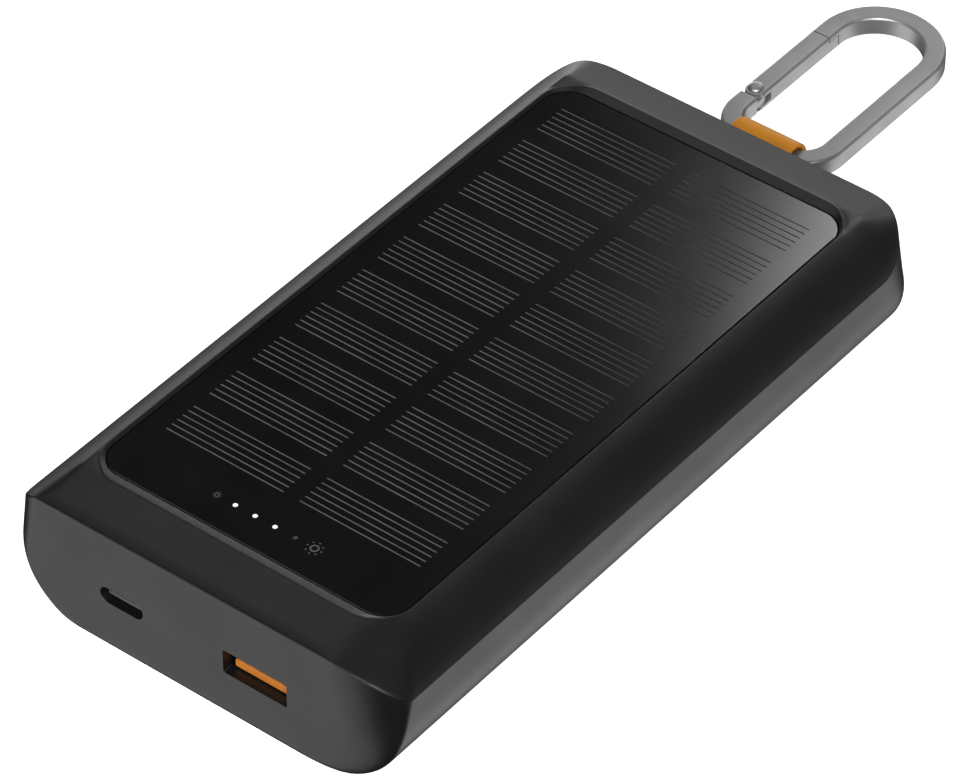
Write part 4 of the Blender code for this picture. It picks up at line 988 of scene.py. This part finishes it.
def make_button(finishes):
    """The power button's cap, crowned and rounded at its edge, with its flange inside the wall."""
    low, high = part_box("power_button")
    face_x = low.x
    rings = []
    for inward, shrink in BUTTON_CROWN:
        size = [length - 2 * shrink * MM for length in BUTTON_SIZE]
        outline = slot_outline(BUTTON_Y, BUTTON_Z, *size, BUTTON_CORNER - 0.8 * shrink * MM)
        rings.append([(face_x + inward * MM, u, v) for u, v in outline])
    flange = (high.y - low.y, high.z - low.z)
    for x, size, radius in (
        (high.x - FLANGE_THICK, BUTTON_SIZE, BUTTON_CORNER),
        (high.x - FLANGE_THICK, flange, FLANGE_CORNER),
        (high.x, flange, FLANGE_CORNER),
    ):
        rings.append([(x, u, v) for u, v in slot_outline(BUTTON_Y, BUTTON_Z, *size, radius)])
    button = loft("power_button_cap", rings, finishes["button_plastic"])
    finish_shading(button)
    claim(button, "power_button", "button_plastic", "power_button")


def make_case_screws(finishes):
    """Screw heads with a cross recess, sunk in the underside."""
    for number, place in enumerate(screw_places(), 1):
        low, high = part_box(f"case_screw_{number}")
        head = (high.x - low.x) / 2
        seat = low.z + SCREW_SEAT
        shank = SCREW_SHANK
        profile = [(0.5 * shank, high.z), (shank, high.z - SCREW_TIP), (shank, seat), (head, seat)]
        profile += [(head, seat - 0.75 * MM), (0.93 * head, seat - 1.05 * MM), (0.75 * head, low.z)]
        screw = lathe(f"case_screw_head_{number}", profile, place, finishes["screw_steel"], 32)
        arms = []
        for reach in ((RECESS_LONG, RECESS_SHORT), (RECESS_SHORT, RECESS_LONG)):
            outline = [(place[0] + u, place[1] + v) for u, v in rounded_plan(*reach, RECESS_CORNER, 2)]
            arms.append(prism(f"recess_{number}", outline, low.z - CUT_MARGIN, low.z + RECESS_DEPTH))
        boolean(screw, "DIFFERENCE", arms)
        finish_shading(screw)
        claim(screw, "housing", "screw_steel", f"case_screw_{number}")


def make_grommet(finishes):
    """The rubber sleeve in the slot that the strap comes out of, with a rounded mouth."""
    low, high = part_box("strap_grommet")
    middle = (low.z + high.z) / 2
    rings = []
    outer = (high.x - low.x, high.z - low.z)
    for y, shrink in (
        (low.y, 0.0),
        (high.y - SLEEVE_MOUTH, 0.0),
        (high.y - 0.05 * MM, 0.06 * MM),
        (high.y, SLEEVE_MOUTH),
        (high.y, SLEEVE_WALL - SLEEVE_MOUTH),
        (high.y - 0.06 * MM, SLEEVE_WALL - 0.06 * MM),
        (high.y - SLEEVE_MOUTH, SLEEVE_WALL),
        (low.y, SLEEVE_WALL),
    ):
        size = [length - 2 * shrink for length in outer]
        outline = slot_outline(0, middle, *size, SLEEVE_CORNER - 0.9 * shrink)
        rings.append([(u, y, v) for u, v in outline])
    sleeve = loft("strap_sleeve", rings, finishes["seal_rubber"], closed=True)
    finish_shading(sleeve)
    claim(sleeve, "housing", "seal_rubber", "strap_grommet")


# Strap loop

def belt(shift):
    """Side view (y, z) of the strap at a depth: a belt round the anchor pin and the bar."""
    bar_radius = STRAP_BORE + shift
    pin_radius = ANCHOR_BORE + shift
    tilt = math.degrees(math.asin((bar_radius - pin_radius) / (SWING_Y - ANCHOR_Y)))
    over_bar = circle(SWING_Y, BAR_Z, bar_radius, 56, -90 - tilt, 180 + 2 * tilt)
    round_pin = circle(ANCHOR_Y, BAR_Z, pin_radius, 32, 90 + tilt, 180 - 2 * tilt)
    top_run = straight_run(over_bar[-1], round_pin[0])
    low_run = straight_run(round_pin[-1], over_bar[0])
    return over_bar + top_run + round_pin + low_run


def straight_run(start, end, steps=10):
    return [
        (start[0] + (end[0] - start[0]) * k / steps, start[1] + (end[1] - start[1]) * k / steps)
        for k in range(1, steps)
    ]


def make_strap(finishes):
    """The elastomer band: one closed loop with full, rounded edges."""
    half = (STRAP_HIGH.x - STRAP_LOW.x) / 2
    section = slot_outline(0, STRAP_THICK / 2, 2 * half, STRAP_THICK, STRAP_EDGE, 6)
    rings = [[(x, y, z) for y, z in belt(shift)] for x, shift in section]
    strap = loft("strap_band", rings, finishes["strap_orange"], closed=True, sharp=60.0)
    finish_shading(strap, 60.0)
    claim(strap, "housing", "strap_orange", "strap_loop")


# Carabiner

def bar_section():
    """The bar's section: a square with bevelled corners, each bevel's edges eased."""
    half, cut = BAR_HALF, BAR_CHAMFER
    corners = []
    for turn in range(4):
        cosine, sine = round(math.cos(math.pi / 2 * turn)), round(math.sin(math.pi / 2 * turn))
        for u, v in ((half, half - cut), (half - cut, half)):
            corners.append((u * cosine - v * sine, u * sine + v * cosine))
    eased = []
    for index, corner in enumerate(corners):
        for other in (corners[index - 1], corners[(index + 1) % len(corners)]):
            run = math.dist(corner, other)
            share = BAR_SOFTEN / run
            eased.append(tuple(a + (b - a) * share for a, b in zip(corner, other)))
    return eased


def sweep_bar(name, path, finish=None):
    rings = []
    section = bar_section()
    for x, y, heading in path:
        turn = math.radians(heading)
        across = Vector((math.sin(turn), -math.cos(turn), 0.0))
        centre = Vector((x, y, BAR_Z))
        rings.append([tuple(centre + across * u + Vector((0, 0, v))) for u, v in section])
    return loft(name, rings, finish)


def carabiner_path():
    """Centre line of the fixed part, from the gate's pivot round to the nose, as (x, y, heading)."""
    path = [(-LEG_X, PIVOT_Y - FRAME_OVERRUN, -90.0)]
    bend_x = LEG_X - NEAR_BEND
    bend_y = NEAR_BAR_Y + NEAR_BEND
    for centre_x, start in ((-bend_x, 180.0), (bend_x, 270.0)):
        for step in range(19):
            angle = start + 5.0 * step
            turn = math.radians(angle)
            x = centre_x + NEAR_BEND * math.cos(turn)
            path.append((x, bend_y + NEAR_BEND * math.sin(turn), angle + 90.0))
    for step in range(46):
        angle = 4.0 * step
        turn = math.radians(angle)
        x = FAR_BEND * math.cos(turn)
        path.append((x, FAR_CENTRE_Y + FAR_BEND * math.sin(turn), angle + 90.0))
    path.append((-LEG_X, GATE_NOSE_Y + JOINT_GAP / 2, -90.0))
    return path


def make_carabiner_bar(finishes):
    """The fixed bar, with the space for the gate's knuckle, its pivot tongue and its nose lap."""
    pivot = (-LEG_X, PIVOT_Y)
    bar = sweep_bar("carabiner_bar", carabiner_path(), finishes["carabiner_aluminium"])
    tall = (BAR_Z - CUTTER_REACH, BAR_Z + CUTTER_REACH)
    space = circle(*pivot, KNUCKLE_RADIUS + KNUCKLE_CLEARANCE, 64)
    boolean(bar, "DIFFERENCE", [prism("knuckle_space", space, *tall)])
    radius = PIVOT_TONGUE_RADIUS
    tail = [(-LEG_X + radius, PIVOT_Y - PIVOT_TONGUE_TAIL), *circle(*pivot, radius, 32, 0, 180)]
    tail.append((-LEG_X - radius, PIVOT_Y - PIVOT_TONGUE_TAIL))
    boolean(bar, "UNION", [prism("pivot_tongue", tail, BAR_Z - TONGUE_HALF_Z, BAR_Z + TONGUE_HALF_Z)])
    side = (-LEG_X - CUTTER_HALF_WIDTH, -LEG_X + CUTTER_HALF_WIDTH)
    lap_y = (GATE_NOSE_Y - LAP_OVERRUN, GATE_TIP_Y + JOINT_GAP / 2)
    lap = box("nose_lap", side, lap_y, (BAR_Z - CUTTER_REACH, LAP_Z + JOINT_GAP / 4))
    boolean(bar, "DIFFERENCE", [prism("pivot_hole", circle(*pivot, RIVET_HOLE, 32), *tall), lap])
    finish_shading(bar, 40.0)
    claim(bar, "carabiner", "carabiner_aluminium", "carabiner_frame")


def make_carabiner_gate(finishes):
    """The gate: a straight bar with a forked, rounded heel and a half lap at its nose."""
    pivot = (-LEG_X, PIVOT_Y)
    ends = (PIVOT_Y - GATE_OVERRUN, GATE_TIP_Y - JOINT_GAP / 2)
    path = [(-LEG_X, y, 90.0) for y in ends]
    gate = sweep_bar("carabiner_gate_arm", path, finishes["carabiner_aluminium"])
    wide = (-LEG_X - CUTTER_HALF_WIDTH, -LEG_X + CUTTER_HALF_WIDTH)
    tall = (BAR_Z - CUTTER_REACH, BAR_Z + CUTTER_REACH)
    behind_y = PIVOT_Y - CUTTER_REACH
    heel = [(wide[1], PIVOT_Y), *circle(*pivot, KNUCKLE_RADIUS, 48, 0, -180), (wide[0], PIVOT_Y)]
    heel += [(wide[0], behind_y), (wide[1], behind_y)]
    fork = TONGUE_HALF_Z + CHEEK_GAP
    nose_y = (GATE_NOSE_Y - JOINT_GAP / 2, GATE_TIP_Y + LAP_OVERRUN)
    cutters = [
        prism("heel_round", heel, *tall),
        box("gate_lap", wide, nose_y, (LAP_Z - JOINT_GAP / 4, BAR_Z + CUTTER_REACH)),
        box("fork_slot", wide, (behind_y, PIVOT_Y + FORK_END), (BAR_Z - fork, BAR_Z + fork)),
        prism("gate_hole", circle(*pivot, RIVET_HOLE, 32), *tall),
    ]
    boolean(gate, "DIFFERENCE", cutters)
    finish_shading(gate, 40.0)
    claim(gate, "gate", "carabiner_aluminium", "carabiner_gate")


def make_rivet(finishes):
    """The gate's rivet, with a smooth domed head at either end."""
    head = (RIVET_HIGH.x - RIVET_LOW.x) / 2
    base = BAR_Z + BAR_HALF + RIVET_SEAT
    dome = RIVET_HIGH.z - base
    upper = []
    for step in range(9):
        turn = math.radians(10 * step)
        upper.append((head * math.cos(turn), base + dome * math.sin(turn) / math.sin(math.radians(80))))
    lower = [(radius, 2 * BAR_Z - z) for radius, z in reversed(upper)]
    profile = lower + [(RIVET_SHANK, 2 * BAR_Z - base), (RIVET_SHANK, base)] + upper
    rivet = lathe("gate_rivet_head", profile, (-LEG_X, PIVOT_Y), finishes["rivet_steel"], 48, 50.0)
    claim(rivet, "carabiner", "rivet_steel", "gate_rivet")


# Carried-over CAD nodes

def dress_cad_nodes(finishes):
    """Give every CAD node its own finish, and the switch plunger and main board eased edges."""
    slots = {entry["node"]: entry["material_slot"] for entry in frame["record"]["subparts"]}
    for name, node in frame["nodes"].items():
        node.data.materials.clear()
        node.data.materials.append(finishes[slots[name]])
        node.data.set_sharp_from_angle(angle=math.radians(35))
    for name in ("switch_plunger", "main_pcb"):
        bevel = frame["nodes"][name].modifiers.new("edges", "BEVEL")
        bevel.width = 0.06 * MM
        bevel.segments = 2
        bevel.limit_method = "ANGLE"


# Stage, lights and camera

def stage_floor():
    half = FLOOR_HALF
    corners = [(-half, -half), (half, -half), (half, half), (-half, half)]
    floor = from_faces("floor", [(x, y, -FLOOR_GAP) for x, y in corners], [(0, 1, 2, 3)])
    surface = bpy.data.materials.new("pale_floor")
    surface.use_nodes = True
    shader = surface.node_tree.nodes["Principled BSDF"]
    shader.inputs["Base Color"].default_value = (0.9, 0.9, 0.9, 1.0)
    shader.inputs["Roughness"].default_value = 1.0
    shader.inputs["Specular IOR Level"].default_value = 0.0
    shader.inputs["Emission Color"].default_value = (1.0, 1.0, 1.0, 1.0)
    shader.inputs["Emission Strength"].default_value = 1.0
    floor.data.materials.append(surface)
    floor.visible_glossy = False
    floor.visible_diffuse = False
    floor.visible_shadow = False
    floor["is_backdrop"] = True


def soft_light(name, direction, distance, size, radiance):
    """An area light that shines on the housing from a direction, with a given radiance."""
    data = bpy.data.lights.new(name, "AREA")
    data.shape = "RECTANGLE"
    data.size, data.size_y = size
    data.energy = radiance * size[0] * size[1] * math.pi
    lamp = bpy.data.objects.new(name, data)
    bpy.context.scene.collection.objects.link(lamp)
    toward = Vector(direction).normalized()
    lamp.location = Vector(LIGHT_AIM) + toward * distance
    lamp.rotation_mode = "QUATERNION"
    lamp.rotation_quaternion = toward.to_track_quat("Z", "Y")
    return lamp


def light_stage():
    """Soft lights all round. Of the last two, one lights the housing and the other the loop."""
    world = bpy.data.worlds.new("studio")
    world.use_nodes = True
    background = world.node_tree.nodes["Background"]
    background.inputs["Color"].default_value = (1.0, 1.0, 1.0, 1.0)
    background.inputs["Strength"].default_value = WORLD_STRENGTH
    bpy.context.scene.world = world
    for light in LIGHTS:
        soft_light(*light)
    glow = soft_light("panel_glow", GLOW_DIRECTION, 1.2, (0.886, 0.187), 7.9)
    loop_glow = soft_light("loop_glow", GLOW_DIRECTION, 1.2, (1.0, 0.6), 1.0)
    on_housing = bpy.data.collections.new("panel_glow_receivers")
    on_loop = bpy.data.collections.new("loop_glow_receivers")
    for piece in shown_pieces():
        of_loop = piece.name.startswith(("carabiner", "gate_rivet", "strap_band"))
        (on_loop if of_loop else on_housing).objects.link(piece)
    glow.light_linking.receiver_collection = on_housing
    loop_glow.light_linking.receiver_collection = on_loop


def make_camera():
    data = bpy.data.cameras.new("camera")
    data.lens = CAMERA_LENS
    data.sensor_width = SENSOR_WIDTH
    data.clip_start = 0.05
    data.clip_end = 20.0
    camera = bpy.data.objects.new("camera", data)
    bpy.context.scene.collection.objects.link(camera)
    azimuth, elevation = math.radians(CAMERA_AZIMUTH), math.radians(CAMERA_ELEVATION)
    back = Vector((
        math.sin(azimuth) * math.cos(elevation),
        -math.cos(azimuth) * math.cos(elevation),
        math.sin(elevation),
    ))
    right = Vector((math.cos(azimuth), math.sin(azimuth), 0.0))
    up = back.cross(right)
    roll = math.radians(CAMERA_ROLL)
    turned_right = right * math.cos(roll) + up * math.sin(roll)
    turned_up = up * math.cos(roll) - right * math.sin(roll)
    axes = Matrix((turned_right, turned_up, back)).transposed()
    camera.matrix_world = Matrix.Translation(CAMERA_PLACE) @ axes.to_4x4()
    bpy.context.scene.camera = camera
    bpy.context.scene.view_settings.view_transform = "Standard"


finishes = make_finishes()
make_camera()
make_lower_tub(finishes)
make_top_cover(finishes)
make_panel(finishes)
make_cell_lines(finishes)
make_indicators(finishes)
make_usb_a_tongue(finishes)
make_usb_c_tongue(finishes)
make_button(finishes)
make_case_screws(finishes)
make_grommet(finishes)
make_strap(finishes)
make_carabiner_bar(finishes)
make_carabiner_gate(finishes)
make_rivet(finishes)
dress_cad_nodes(finishes)
stage_floor()
light_stage()
